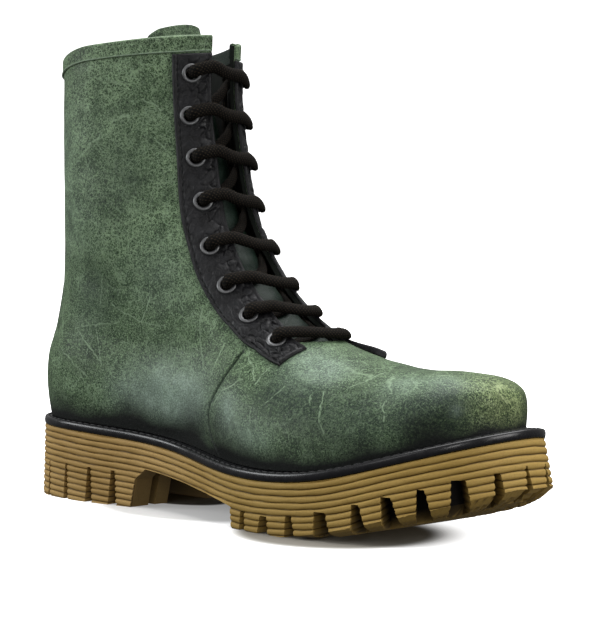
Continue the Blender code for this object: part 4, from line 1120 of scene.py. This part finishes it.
# ------------------------------------------------------------------ collar band
def make_collar_band():
    c_side = np.r_[np.linspace(0, 1, 18)[:-1], np.linspace(1, 2, 70)[:-1], np.linspace(2, 2.84, 30)[:-1], np.linspace(2.84, 3, 17)]
    mid = -WALL / 2
    rad = WALL / 2 + 0.15 + BAND_SHOW
    prof = []  # loop, lift, rise, worn
    for w in np.linspace(LOOP_BAND, 1.0, 11):
        s = (w - LOOP_BAND) / (1 - LOOP_BAND)
        k = min(1.0, s * 8)
        prof.append((w, 0.15 + BAND_SHOW * (0.20 + 0.80 * math.sqrt(1 - (1 - k)**2)), 0.0, 0.70 if s < 0.15 else 0.0))
    for a in np.linspace(0, np.pi, 15)[1:-1]:
        prof.append((1.0, mid + rad * math.cos(a), rad * 0.75 * math.sin(a), 0.55 * math.exp(-((a - 0.95) / 0.40)**2)))
    for w in np.linspace(1.0, LOOP_BAND, 5):
        prof.append((w, -WALL - 0.15 - BAND_SHOW, 0.0, 0.0))
    for w in np.linspace(LOOP_BAND, 1.0, 3):
        prof.append((w, -WALL - 0.15, 0.0, 0.0))
    prof += [(1.0, -WALL, 0.15, 0.0), (1.0, 0.0, 0.15, 0.0)]
    for w in np.linspace(1.0, LOOP_BAND, 3):
        prof.append((w, 0.15, 0.0, 0.0))
    prof = np.array(prof)
    rings, line, norm = [], [], []
    for side, cc in ((-1, c_side[::-1]), (1, c_side[1:])):
        w = np.broadcast_to(prof[None, :, 0], (len(cc), len(prof)))
        c = np.broadcast_to(cc[:, None], w.shape)
        deep = np.interp(c, [0.0, 1.05, 1.30, 1.65, 2.2, 3.0], BAND_DEPTH)
        w = 1 - (1 - w) * deep
        N = normal_at(side, np.minimum(w, 0.985), c)
        P = on_upper(side, w, c) + N * prof[None, :, 1, None]
        P[..., 2] += prof[None, :, 2] - sag(side, w, c)
        dent = 0.10 * waves(P.reshape(-1, 3), 15, 30.0).reshape(w.shape)
        dent = dent - 0.45 * np.exp(-(((c - 2.93) * 20.0) / 0.45)**2) * (prof[None, :, 1] > 0.5)
        rings.append(P + N * dent[..., None])
        low = 1 - (1 - LOOP_BAND - 0.002) * deep[:, 0]
        line.append(on_upper(side, low, cc) + normal_at(side, np.full(len(cc), 0.970), cc) * (0.15 + BAND_SHOW * 0.75))
        line[-1][:, 2] -= sag(side, low, cc)
        norm.append(normal_at(side, np.full(len(cc), 0.970), cc))
    V, F = rail(np.concatenate(rings), False)
    ob = put("collar_band_leather", V, F, ["green_leather"], angle=50)
    rub = 0.75 + 0.25 * waves(V, 17, 14.0)
    paint(ob, "worn", np.clip(np.tile(prof[:, 3], len(V) // len(prof)) * rub, 0, 1))
    for name in ("burnish_and_shade", "toe", "painted_highlight"):
        paint(ob, name, np.zeros(len(V)))
    # painted shade on the inner face of the band, inside the boot
    paint(ob, "dark", np.tile(1.5 * smooth(-0.8, -2.2, prof[:, 1]), len(V) // len(prof)))
    return ob, stitch_row(np.concatenate(line)[3:-3], np.concatenate(norm)[3:-3], 3.2, 0.25, 0.36, 0.12)


def make_backstay():
    rows = np.linspace(0, LOOP_BACKSTAY, 91)
    cc = np.linspace(0, 1, 17)
    grids = []
    for side in (1, -1):
        W, C = np.meshgrid(rows, cc, indexing="ij")
        P, N = on_upper(side, W, C), normal_at(side, W, C)
        e = np.minimum((1 - C) * BACKSTAY_HALF, (LOOP_BACKSTAY - W) * 230.0)
        lift = BACKSTAY_THICK * np.sqrt(1 - (1 - np.clip(e / 1.0, 0, 1))**2 * 0.95)
        lift = lift - 0.30 * np.exp(-((e - 2.4) / 0.6)**2)
        grids.append((P + N * (FIT + lift)[..., None], P + N * FIT, N))
    hi = np.concatenate([grids[0][0][:, ::-1], grids[1][0][:, 1:]], axis=1)
    lo = np.concatenate([grids[0][1][:, ::-1], grids[1][1][:, 1:]], axis=1)[::2, ::2]
    V, F = skin(hi, lo)
    return put("backstay_leather", V, F, ["black_leather", "lining"],
               [np.zeros(len(F[0])), np.ones(len(F[1])), np.zeros(len(F[2]))], angle=55)


def make_tongue():
    i = np.linspace(0, len(TONGUE) - 1, 121)
    w, half, lean, rise = tongue_at(i).T
    w = np.minimum(w, 1.0)
    u = np.linspace(-1, 1, 49)
    top = smooth(8.0, 10.0, i)  # the top is arched, higher on the inner side
    half = half * (1 + 0.10 * top)
    D = half[:, None] * u[None, :]
    W = np.broadcast_to(w[:, None], D.shape)

    def face(lift):
        P = at_distance(W, D, np.broadcast_to(lift, D.shape))
        P[..., 0] -= lean[:, None]
        crest = 2.0 * (1 - (u - 0.55)**2 / 1.6) - 0.5 * smooth(0.90, 1.0, u)
        P[..., 2] += rise[:, None] + crest[None, :] * top[:, None]
        return P
    e = np.minimum((1 - np.abs(D) / half[:, None]) * half[:, None], (np.linspace(1, 0, len(i)) * 150)[:, None])
    puff = TONGUE_THICK * (np.sqrt(1 - (1 - np.clip(e / 2.0, 0, 1))**2 * 0.9) - 1) * 0.5
    base = face(0.0)
    bump = 0.25 * waves(base.reshape(-1, 3), 31, 26.0).reshape(D.shape)
    V, F = skin(face(-TONGUE_SINK + puff + bump), face(-TONGUE_SINK - TONGUE_THICK)[::2, ::2])
    ob = put("tongue_leather", V, F, ["green_leather", "lining", "edge_dark"],
             [np.zeros(len(F[0])), np.ones(len(F[1])), np.full(len(F[2]), 2)], angle=60)
    for name in ("burnish_and_shade", "toe", "worn", "painted_highlight"):
        paint(ob, name, np.zeros(len(ob.data.vertices)))
    # painted shade: the tongue is dark inside the throat and lighter only where it rises above the collar
    collar = float(on_upper(-1, 1.0, 2.6)[2])
    paint(ob, "dark", 1.6 - 1.2 * smooth(collar - 2.0, collar + 1.5, points_of(ob)[:, 2]))
    return ob


# ------------------------------------------------------------------ eyelets, lace
def make_eyelets():
    seat = FIT + STAY_THICK + 0.02
    prof = [(EYELET_TUBE, -WALL - 0.6), (EYELET_TUBE, seat)]
    rim = EYELET_FLANGE
    prof += [(rim - 0.05, seat), (rim, seat + 0.25), (rim - 0.15, seat + 0.52), (rim - 0.50, seat + 0.72), (rim - 1.1, seat + 0.80),
             (EYELET_BORE + 0.55, seat + 0.72), (EYELET_BORE + 0.20, seat + 0.45), (EYELET_BORE + 0.02, seat + 0.05)]
    prof += [(EYELET_BORE, seat - 0.4), (EYELET_BORE, -WALL - 0.6)]
    parts = []
    for side in (-1, 1):
        for w, d in EYELETS:
            p, n = eyelet_frame(side, w, d)
            parts.append(rail(turned(p, n, prof, 36), True))
    V, F = joined(parts)
    return put("eyelet_rings", V, F, ["eyelet_nickel"], angle=50)


def resample(P, tags, fine, coarse):
    """Even steps along a smooth line through the points: fine where it shows."""
    Q = cubic(chord(P), np.c_[P, tags])
    t = np.linspace(0, chord(P)[-1], 12000)
    X = Q(t)
    s = chord(X[:, :3])
    out, at = [0.0], 0.0
    show = X[:, -1]
    while at < s[-1]:
        k = np.interp(at, s, show)
        at += coarse + (fine - coarse) * min(max(k, 0.0), 1.0)
        out.append(min(at, s[-1]))
    out = np.array(out)
    return np.c_[[np.interp(out, s, X[:, i]) for i in range(X.shape[1])]].T, out


def make_lace():
    """One flat cord: up inside the inner side, then bar and diagonal by turns."""
    pts = []  # loop, distance, lift, half width, half thickness, shows

    def add(w, d, lift, size, shows):
        pts.append((w, d if d else 1e-6, lift) + size + (shows,))
    tongue_w = np.array([r[0] for r in TONGUE[:9]])
    room = np.array([3.8, 4.7, 5.6, 6.3, 7.6, 9.8, 12.8, 17.0, 22.0])
    # the end that runs up inside to the inner top eyelet
    for w in np.linspace(0.915, EYELETS[0][0] + 0.03, 12):
        add(w, float(throat_at(w)[1]) + 3.0, -5.0, LACE_INSIDE, 0.0)
    flat = FIT + STAY_THICK + LACE_OUT[1] + 0.1
    over = FIT + STAY_THICK + 1.05 + LACE_OUT[1]
    rise = [(0.0, -7.0), (0.0, -3.4), (0.10, 0.2), (0.7, 2.9), (2.2, over - 0.25), (4.2, over), (6.6, over - 0.4), (8.6, flat + 0.15)]
    for i, (w, d) in enumerate(EYELETS):
        edge = float(throat_at(w)[0])

        def sway(dist):
            """The bar climbs away from the outer eyelet and sinks at the inner edge."""
            s = dist / d
            return BAR_CLIMB[i] * np.exp(-((s + 0.50) / 0.42)**2) - 0.85 * BAR_SINK[i] * smooth(0.50, 1.0, s)

        def reach(dist, up):
            press = float(smooth(0.15, 0.75, dist / d)) if up > 2 else 0.0  # pulled flat over the inner edge
            size = LACE_HOLE if up < 2 else (LACE_OUT[0] + 0.25 * press, LACE_OUT[1] - 0.70 * press)
            add(w + sway(dist) * smooth(1.0, 4.5, up), dist, up - 0.8 * press, size, 1.0 if up > 0 else 0.0)
        for go, up in rise:
            reach(d - go, up)
        for s in np.linspace(1.0, -1.0, 11)[1:-1]:
            dist = s * (d - 8.6)
            inside = max(0.0, 1 - (dist / edge)**2)
            reach(dist, flat + 0.15 - 1.3 * inside)
        for go, up in rise[::-1]:
            reach(-(d - go), up)
        if i + 1 < len(EYELETS):
            w1, d1 = EYELETS[i + 1]
            for s in (0.08, 0.2, 0.34, 0.5, 0.66, 0.8, 0.92):
                wm = w + (w1 - w) * s
                deep = min(4.9, float(np.interp(wm, tongue_w, room)) - 1.7)
                side_on = abs(2 * s - 1)
                add(wm, -d + (d + d1) * s, -(deep + (5.2 - deep) * side_on), LACE_INSIDE, 1.0)
    add(EYELETS[-1][0] + 0.006, -EYELETS[-1][1] + 1.0, -8.4, LACE_INSIDE, 0.0)
    pts = np.array(pts)
    P = at_distance(pts[:, 0], pts[:, 1], pts[:, 2])
    up = at_distance(pts[:, 0], pts[:, 1], pts[:, 2] + 1.0) - P
    X, run = resample(P, np.c_[up, pts[:, 3:6]], 0.40, 1.4)
    path, up, half = X[:, :3], X[:, 3:6], X[:, 6:8]
    n = len(path)
    T = np.gradient(path, axis=0)
    T /= np.linalg.norm(T, axis=1)[:, None]
    a = np.cross(T[0], up[0])
    A = np.empty((n, 3))
    for i in range(n):
        flatwise = np.cross(T[i], up[i])
        size = np.linalg.norm(flatwise)
        a = a - T[i] * (a @ T[i])
        a /= np.linalg.norm(a)
        if size > 0.35:
            flatwise /= size
            k = 0.14 * min(1.0, (size - 0.35) / 0.4)
            a = a * (1 - k) + flatwise * k * (1.0 if a @ flatwise > 0 else -1.0)
            a /= np.linalg.norm(a)
        A[i] = a
    B = np.cross(T, A)
    sides = 36
    ang = np.arange(sides) * 2 * np.pi / sides
    # braid: two sets of strands, each passing over and under the other
    strands, pitch = 9, 1.75
    u = strands * ang[None, :] / (2 * np.pi) + run[:, None] / pitch
    v = strands * ang[None, :] / (2 * np.pi) - run[:, None] / pitch
    left, right = np.abs(np.sin(np.pi * u)), np.abs(np.sin(np.pi * v))
    crest = np.where(((np.floor(u) + np.floor(v)) % 2) == 0, left, right) * (0.35 + 0.65 * np.minimum(left, right)**0.5)
    R = 0.88 + 0.15 * crest
    rings = path[:, None] + R[..., None] * (half[:, :1, None] * np.cos(ang)[None, :, None] * A[:, None]
                                            + half[:, 1:, None] * np.sin(ang)[None, :, None] * B[:, None])
    V, F = rail(rings, False)
    ob = put("lace_braid_cord", V, F, ["lace_braid"], angle=0)
    paint(ob, "crest", crest.ravel())
    uv = ob.data.uv_layers.new(name="run")
    idx = np.empty(len(ob.data.loops), np.int32)
    ob.data.loops.foreach_get("vertex_index", idx)
    co = np.c_[np.repeat(run, sides) * MM, np.tile(ang / (2 * np.pi), n)][idx]
    uv.data.foreach_set("uv", co.ravel().astype(np.float32))
    return ob, run[-1]


# ------------------------------------------------------------------ the sole
def ridge(depth, x, s):
    """0 on the crest of a side ridge, 1 in the groove under it."""
    pitch = np.interp(x, [-152, 60, 105, 152], [3.05, 3.05, 3.25, 3.4])
    k = (depth + 0.25 * np.sin(s * 0.045) + 0.16 * np.sin(s * 0.11 + 1.3) + 0.10 * np.sin(s * 0.31 + depth)) / pitch
    i = np.floor(k)
    f = np.clip(k - i + 0.07 * np.sin(i * 2.3) * np.sin(np.pi * (k - i)), 0, 1)
    return np.abs(2 * f - 1)**3.2


RIDGE = 1.0


def make_outsole():
    n = 640
    C = outline_curve(n)
    out = outward(C)
    s = chord(np.r_[C, C[:1]])[:-1]
    top = sole_top(C[:, 0])
    low = sole_bottom(C[:, 0])
    full = np.maximum(top - np.interp(C[:, 0], [-152, 58, 70, 80, 95, 110, 122, 135, 152], [0, 0, 1.9, 4, 7.6, 11.9, 15.4, 19.7, 25.2]), 5.0)
    depth = np.r_[0.0, np.linspace(0.15, 39.5, 121)]
    flare = flare_at(C[:, 0])
    rings = [np.c_[C - out * 6.0, top]]
    for d in depth:
        r = ridge(d, C[:, 0], s)
        o = flare * np.clip(d / full, 0, 1.2) - RIDGE * r * smooth(0.0, 0.6, d) - 0.35 * (1 - smooth(0.0, 0.5, d))
        rings.append(np.c_[C + out * o[:, None], top - d])
    rings = np.array(rings)
    R, K = rings.shape[:2]
    side = grid_faces(R, K, True).reshape(-1, 4)
    # caps: strips across the foot between the two halves
    V = rings.reshape(-1, 3)

    def cap(row, flip):
        k0 = int(np.argmin(rings[row][:, 0]))
        k1 = int(np.argmax(rings[row][:, 0]))
        a = [(k0 + i) % K for i in range((k1 - k0) % K + 1)]
        b = [(k0 - i) % K for i in range((k0 - k1) % K + 1)]
        faces = []
        i = j = 0
        while i < len(a) - 1 or j < len(b) - 1:
            if j >= len(b) - 1 or (i < len(a) - 1 and rings[row][a[i + 1], 0] <= rings[row][b[j + 1], 0]):
                tri = (a[i], a[i + 1], b[j])
                i += 1
            else:
                tri = (a[i], b[j + 1], b[j])
                j += 1
            if len(set(tri)) == 3:
                faces.append(tri[::-1] if flip else tri)
        return np.array(faces) + row * K
    F = [side, cap(0, True), cap(R - 1, False)]
    ob = put("sole_rubber", V, F, ["tan_rubber"], angle=38)
    # underside: arch, toe spring, rounded edge and fine grooves under the toe
    parts = []
    xs = np.unique(np.r_[[-170.0], [r[0] for r in SOLE_BOTTOM], np.arange(60.0, 158.1, 2.0), [170.0]])
    ys = np.linspace(-64.0, 64.0, 257)
    rows = []
    for x in xs:
        e = np.sqrt(((np.c_[np.full(len(ys), x), ys][:, None] - TREAD[None, ::4])**2).sum(-1)).min(1)
        edge = [np.interp(x, h[:, 0], h[:, 1]) for h in TREAD_HALF]
        e = np.where((ys > edge[0]) & (ys < edge[1]) & (x < TREAD[:, 0].max()), e, 0.0)
        low, (up, down) = sole_bottom(x), crown(x)
        k = np.clip(1 - e / 9.0, 0, 1)**2
        groove = np.exp(-((e % 4.6 - 2.3) / 0.50)**2) * smooth(6.0, 7.0, e) * smooth(60.0, 66.0, x)
        z = low + up * k - 0.9 * down * (1 - k) + 1.2 * groove
        rows.append(np.r_[np.c_[np.full(len(ys), x), ys, z], [(x, 64.0, -60.0), (x, -64.0, -60.0)]])
    subtract(ob, put("cut_under", *rail(rows, False), ["tan_rubber"], angle=0), 38)
    xa, xb, ya, yb, roof = HEEL_HOLLOW
    r = (yb - ya) / 2
    turn = np.linspace(np.pi / 2, 3 * np.pi / 2, 25)
    plan = np.r_[np.c_[xa + r + r * np.cos(turn), (ya + yb) / 2 + r * np.sin(turn)], [(xb, ya), (xb, yb)]]
    subtract(ob, put("cut_hollow", *rail([np.c_[plan, np.full(len(plan), z)] for z in (-5.0, roof)], False), ["tan_rubber"], angle=0), 38)
    for y0, y1 in BREAST_SLOTS:
        box = [np.array([(-78.0, y0, z), (-45.0, y0, z), (-45.0, y1, z), (-78.0, y1, z)]) for z in (-5.0, roof)]
        subtract(ob, put("cut_slot", *rail(box, False), ["tan_rubber"], angle=0), 38)
    both = np.c_[EDGE, TREAD]
    roll = np.roll(both, -int(np.argmin(EDGE[:, 0])), 0)
    k1 = int(np.argmax(roll[:, 0]))
    for half, flip in ((roll[:k1 + 1], 1.0), (np.r_[roll[k1:], roll[:1]][::-1], -1.0)):
        T = np.gradient(half[:, :2], axis=0)
        T /= np.linalg.norm(T, axis=1)[:, None]
        for x, root, floor, lean, reach, band in LUG_GAPS:
            p = np.array([np.interp(x, half[:, 0], half[:, i]) for i in (2, 3)])
            t = np.array([np.interp(x, half[:, 0], T[:, i]) for i in (0, 1)])
            t /= np.linalg.norm(t)
            nrm = np.array([t[1], -t[0]]) * flip
            hi = float(sole_top(x)) - band
            lo = float(sole_bottom(x)) - 0.7 * float(crown(x)[1])
            z = np.r_[np.linspace(hi, lo, 2 + int((hi - lo) / 0.45)), [lo - 8.0]]
            share = np.clip((hi - z) / (hi - lo), 0, 1)
            near_s = float(np.interp(x, half[:, 0], chord(half[:, :2])))
            bite = 0.55 * ridge(float(sole_top(x)) - z, np.full(len(z), x), near_s) * smooth(0.02, 0.10, share)
            width = (root + (floor - root) * share) / 2 + bite
            rows = []
            for go in (9.0, -reach):
                c = p + nrm * go
                left = np.c_[c + t * (lean * share - width)[:, None], z]
                right = np.c_[c + t * (lean * share + width)[:, None], z]
                rows.append(np.r_[left, right[::-1]])
            parts.append(rail(rows, False))
    for i, (v, f) in enumerate(parts):
        subtract(ob, put("cut_gap", v, f, ["tan_rubber"], angle=0), 0)
    ob.data.set_sharp_from_angle(angle=math.radians(38))
    P = points_of(ob)
    # shade in the grooves and between the lugs
    near = np.array([int(np.argmin((C[:, 0] - p[0])**2 + (C[:, 1] - p[1])**2)) for p in P])
    d = top[near] - P[:, 2]
    offset = np.einsum("ij,ij->i", P[:, :2] - C[near], out[near])
    wall = smooth(-2.2, -1.2, offset - flare[near] * np.clip(d / full[near], 0, 1.2))
    g = ridge(d, P[:, 0], s[near])
    paint(ob, "groove", smooth(0.35, 0.95, g) * wall * smooth(0.3, 1.2, d))
    shade = np.clip((-offset - 0.3) / 3.2, 0, 1)**0.6 * (1 - wall) * smooth(2.0, 6.0, d)
    low, (up, down) = sole_bottom(P[:, 0]), crown(P[:, 0])
    toe = (P[:, 0] > 72) & (P[:, 2] < low + up + 0.5)
    breast = (P[:, 0] > -64.0) & (P[:, 0] < -49.0) & (P[:, 2] < 21.0)
    shade = np.where(toe, np.minimum(shade, 0.30), shade)
    shade = np.where(breast, np.minimum(shade, 0.36), shade)
    rut = toe & (P[:, 2] > low + up * 0 - 0.9 * down + 0.55) & (offset < -6.0)
    paint(ob, "under", np.where(rut, 0.75, shade))
    # crisp faces everywhere but on the ridged wall
    me = ob.data
    first = np.empty(len(me.polygons), np.int32)
    count = np.empty(len(me.polygons), np.int32)
    me.polygons.foreach_get("loop_start", first)
    me.polygons.foreach_get("loop_total", count)
    idx = np.empty(len(me.loops), np.int32)
    me.loops.foreach_get("vertex_index", idx)
    on_wall = np.add.reduceat(wall[idx], first) / count
    me.polygons.foreach_set("use_smooth", on_wall > 0.75)
    return ob


def make_welt():
    n = 720
    C = outline_curve(n)
    out = outward(C)
    inn = -(inset_at(C[:, 0]) + WELT_REACH)
    z = sole_top(C[:, 0])
    hi = FIT + WELT_THICK
    prof = [(-0.5, FIT), (-0.05, FIT + 0.25), (0.12, FIT + 0.7), (0.20, FIT + 1.4), (0.20, FIT + 2.2), (0.12, FIT + 3.0),
            (-0.05, FIT + 3.6), (-0.40, hi - 0.18), (-0.9, hi), (-1.6, hi - 0.03), (-1.9, hi - 0.35), (-2.5, hi - 0.38),
            (-2.9, hi - 0.1), (-3.4, hi)]
    rings = [np.c_[C + out * o, z + h] for o, h in prof]
    rings.append(np.c_[C + out * inn[:, None], z + hi])
    rings.append(np.c_[C + out * inn[:, None], z + FIT])
    rings = np.array(rings).transpose(1, 0, 2)
    V, F = rail(rings, True)
    ob = put("welt_strip", V, F, ["welt_gloss"], angle=60)
    line = np.c_[C - out * 2.2, z + hi - 0.42]
    line = np.r_[line, line[:1]]
    up = np.tile((0.0, 0.0, 1.0), (len(line), 1))
    return ob, stitch_row(line, up, 3.6, 1.1, 0.42, 0.10)


# ------------------------------------------------------------------ stage
def area(name, at, aim, size, power, colour=(1.0, 1.0, 1.0), size_y=None):
    d = bpy.data.lights.new(name, "AREA")
    d.shape = "RECTANGLE"
    d.size, d.size_y = size, size_y or size
    d.energy, d.color = power, colour
    ob = bpy.data.objects.new(name, d)
    bpy.context.scene.collection.objects.link(ob)
    at, aim = np.array(at, float), np.array(aim, float)
    back = at - aim
    back /= np.linalg.norm(back)
    right = np.cross((0.0, 0.0, 1.0), back)
    right /= np.linalg.norm(right)
    M = np.eye(4)
    M[:3, 0], M[:3, 1], M[:3, 2], M[:3, 3] = right, np.cross(back, right), back, at
    ob.matrix_world = Matrix(M.tolist())
    return ob


def make_stage():
    scene = bpy.context.scene
    az, el, dist, focal, tx, tz, roll = CAMERA
    a, e, r = (math.radians(v) for v in (az, el, roll))
    back = np.array([math.sin(a) * math.cos(e), -math.cos(a) * math.cos(e), math.sin(e)])
    right = np.array([math.cos(a), math.sin(a), 0.0])
    up = np.cross(back, right)
    eye = (right * tx + np.array([0, 0, tz]) + back * dist + PLACE) * MM
    M = np.eye(4)
    M[:3, 0] = math.cos(r) * right + math.sin(r) * up
    M[:3, 1] = -math.sin(r) * right + math.cos(r) * up
    M[:3, 2], M[:3, 3] = back, eye
    cam = bpy.data.cameras.new("camera")
    cam.lens, cam.sensor_width, cam.sensor_fit = focal * 36 / 625, 36.0, "AUTO"
    cam.clip_start, cam.clip_end = 0.01, 50.0
    ob = bpy.data.objects.new("camera", cam)
    scene.collection.objects.link(ob)
    ob.matrix_world = Matrix(M.tolist())
    scene.camera = ob
    # floor, and a white wall far behind that only fills the picture
    def plane(name, corners, mat):
        me = bpy.data.meshes.new(name)
        me.from_pydata([tuple(c) for c in corners], [], [(0, 1, 2, 3)])
        me.materials.append(MATERIALS[mat])
        pl = bpy.data.objects.new(name, me)
        scene.collection.objects.link(pl)
        pl.visible_diffuse = pl.visible_glossy = False
        return pl
    L = 14.0
    plane("floor", [(-L, -L, 0), (L, -L, 0), (L, L, 0), (-L, L, 0)], "floor_white")
    far = -back * 5.5
    wide = np.array([math.cos(a), math.sin(a), 0.0]) * 7.0
    wall = plane("wall", [far - wide + (0, 0, -far[2] - 0.01), far + wide + (0, 0, -far[2] - 0.01),
                          far + wide + (0, 0, 6.0), far - wide + (0, 0, 6.0)], "wall_white")
    wall.visible_shadow = False
    # room light: brighter above than below
    w = bpy.data.worlds.new("room")
    w.use_nodes = True
    nt = w.node_tree
    coord = nt.nodes.new("ShaderNodeTexCoord")
    split = nt.nodes.new("ShaderNodeSeparateXYZ")
    fade = nt.nodes.new("ShaderNodeMapRange")
    nt.links.new(coord.outputs["Generated"], split.inputs[0])
    nt.links.new(split.outputs["Z"], fade.inputs["Value"])
    for key, v in (("From Min", -0.3), ("From Max", 0.9), ("To Min", ROOM[0]), ("To Max", ROOM[1])):
        fade.inputs[key].default_value = v
    nt.nodes["Background"].inputs["Color"].default_value = (1.0, 1.0, 1.0, 1.0)
    nt.links.new(fade.outputs["Result"], nt.nodes["Background"].inputs["Strength"])
    scene.world = w
    scene.view_settings.view_transform = "Standard"
    scene.view_settings.look = "None"
    # a wide soft light overhead, and soft boxes left and right
    mid = np.array([0.0, 0.0, 0.10])
    top = bpy.data.lights.new("overhead", "SUN")
    top.energy, top.angle = OVERHEAD, math.radians(60)
    sun = bpy.data.objects.new("overhead", top)
    scene.collection.objects.link(sun)
    sun.rotation_euler = (math.radians(-11), math.radians(3), 0.0)
    for name, at, size, high, power, colour in BOXES:
        area(name, at, mid, size, power, colour, high)


# ------------------------------------------------------------------ put together
def own(ob, slot, *nodes):
    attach(ob, "root")
    if nodes:
        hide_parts(*nodes)


def main():
    make_materials()
    own(make_upper(), "leather_green", "upper")
    threads = []
    lat, stitches = make_facing(-1, "facing_outer")
    threads += stitches
    own(lat, "leather_black", "eyestay_lateral")
    med, stitches = make_facing(1, "facing_inner")
    threads += stitches
    own(med, "leather_black", "eyestay_medial")
    band, pale = make_collar_band()
    own(band, "leather_green", "collar_band")
    own(make_backstay(), "leather_black", "backstay")
    own(make_tongue(), "leather_green", "tongue")
    own(make_eyelets(), "eyelet_metal", *["eyelet_%s_%d" % (t, i) for t in ("lateral", "medial") for i in range(1, 9)])
    lace, length = make_lace()
    own(lace, "lace_cord", "lace")
    print("lace length mm", round(length))
    own(make_outsole(), "sole_tan", "outsole")
    welt, shelf = make_welt()
    own(welt, "welt_black", "welt")
    V, F = joined(threads)
    own(put("stitches_facing", V, F, ["thread_black"]), "leather_black")
    V, F = joined(shelf)
    own(put("stitches_welt", V, F, ["thread_black"]), "welt_black")
    V, F = joined(pale)
    own(put("stitches_collar", V, F, ["thread_green"]), "leather_green")
    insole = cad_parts["insole"]
    insole.data.materials.clear()
    insole.data.materials.append(MATERIALS["footbed"])
    make_stage()


main()
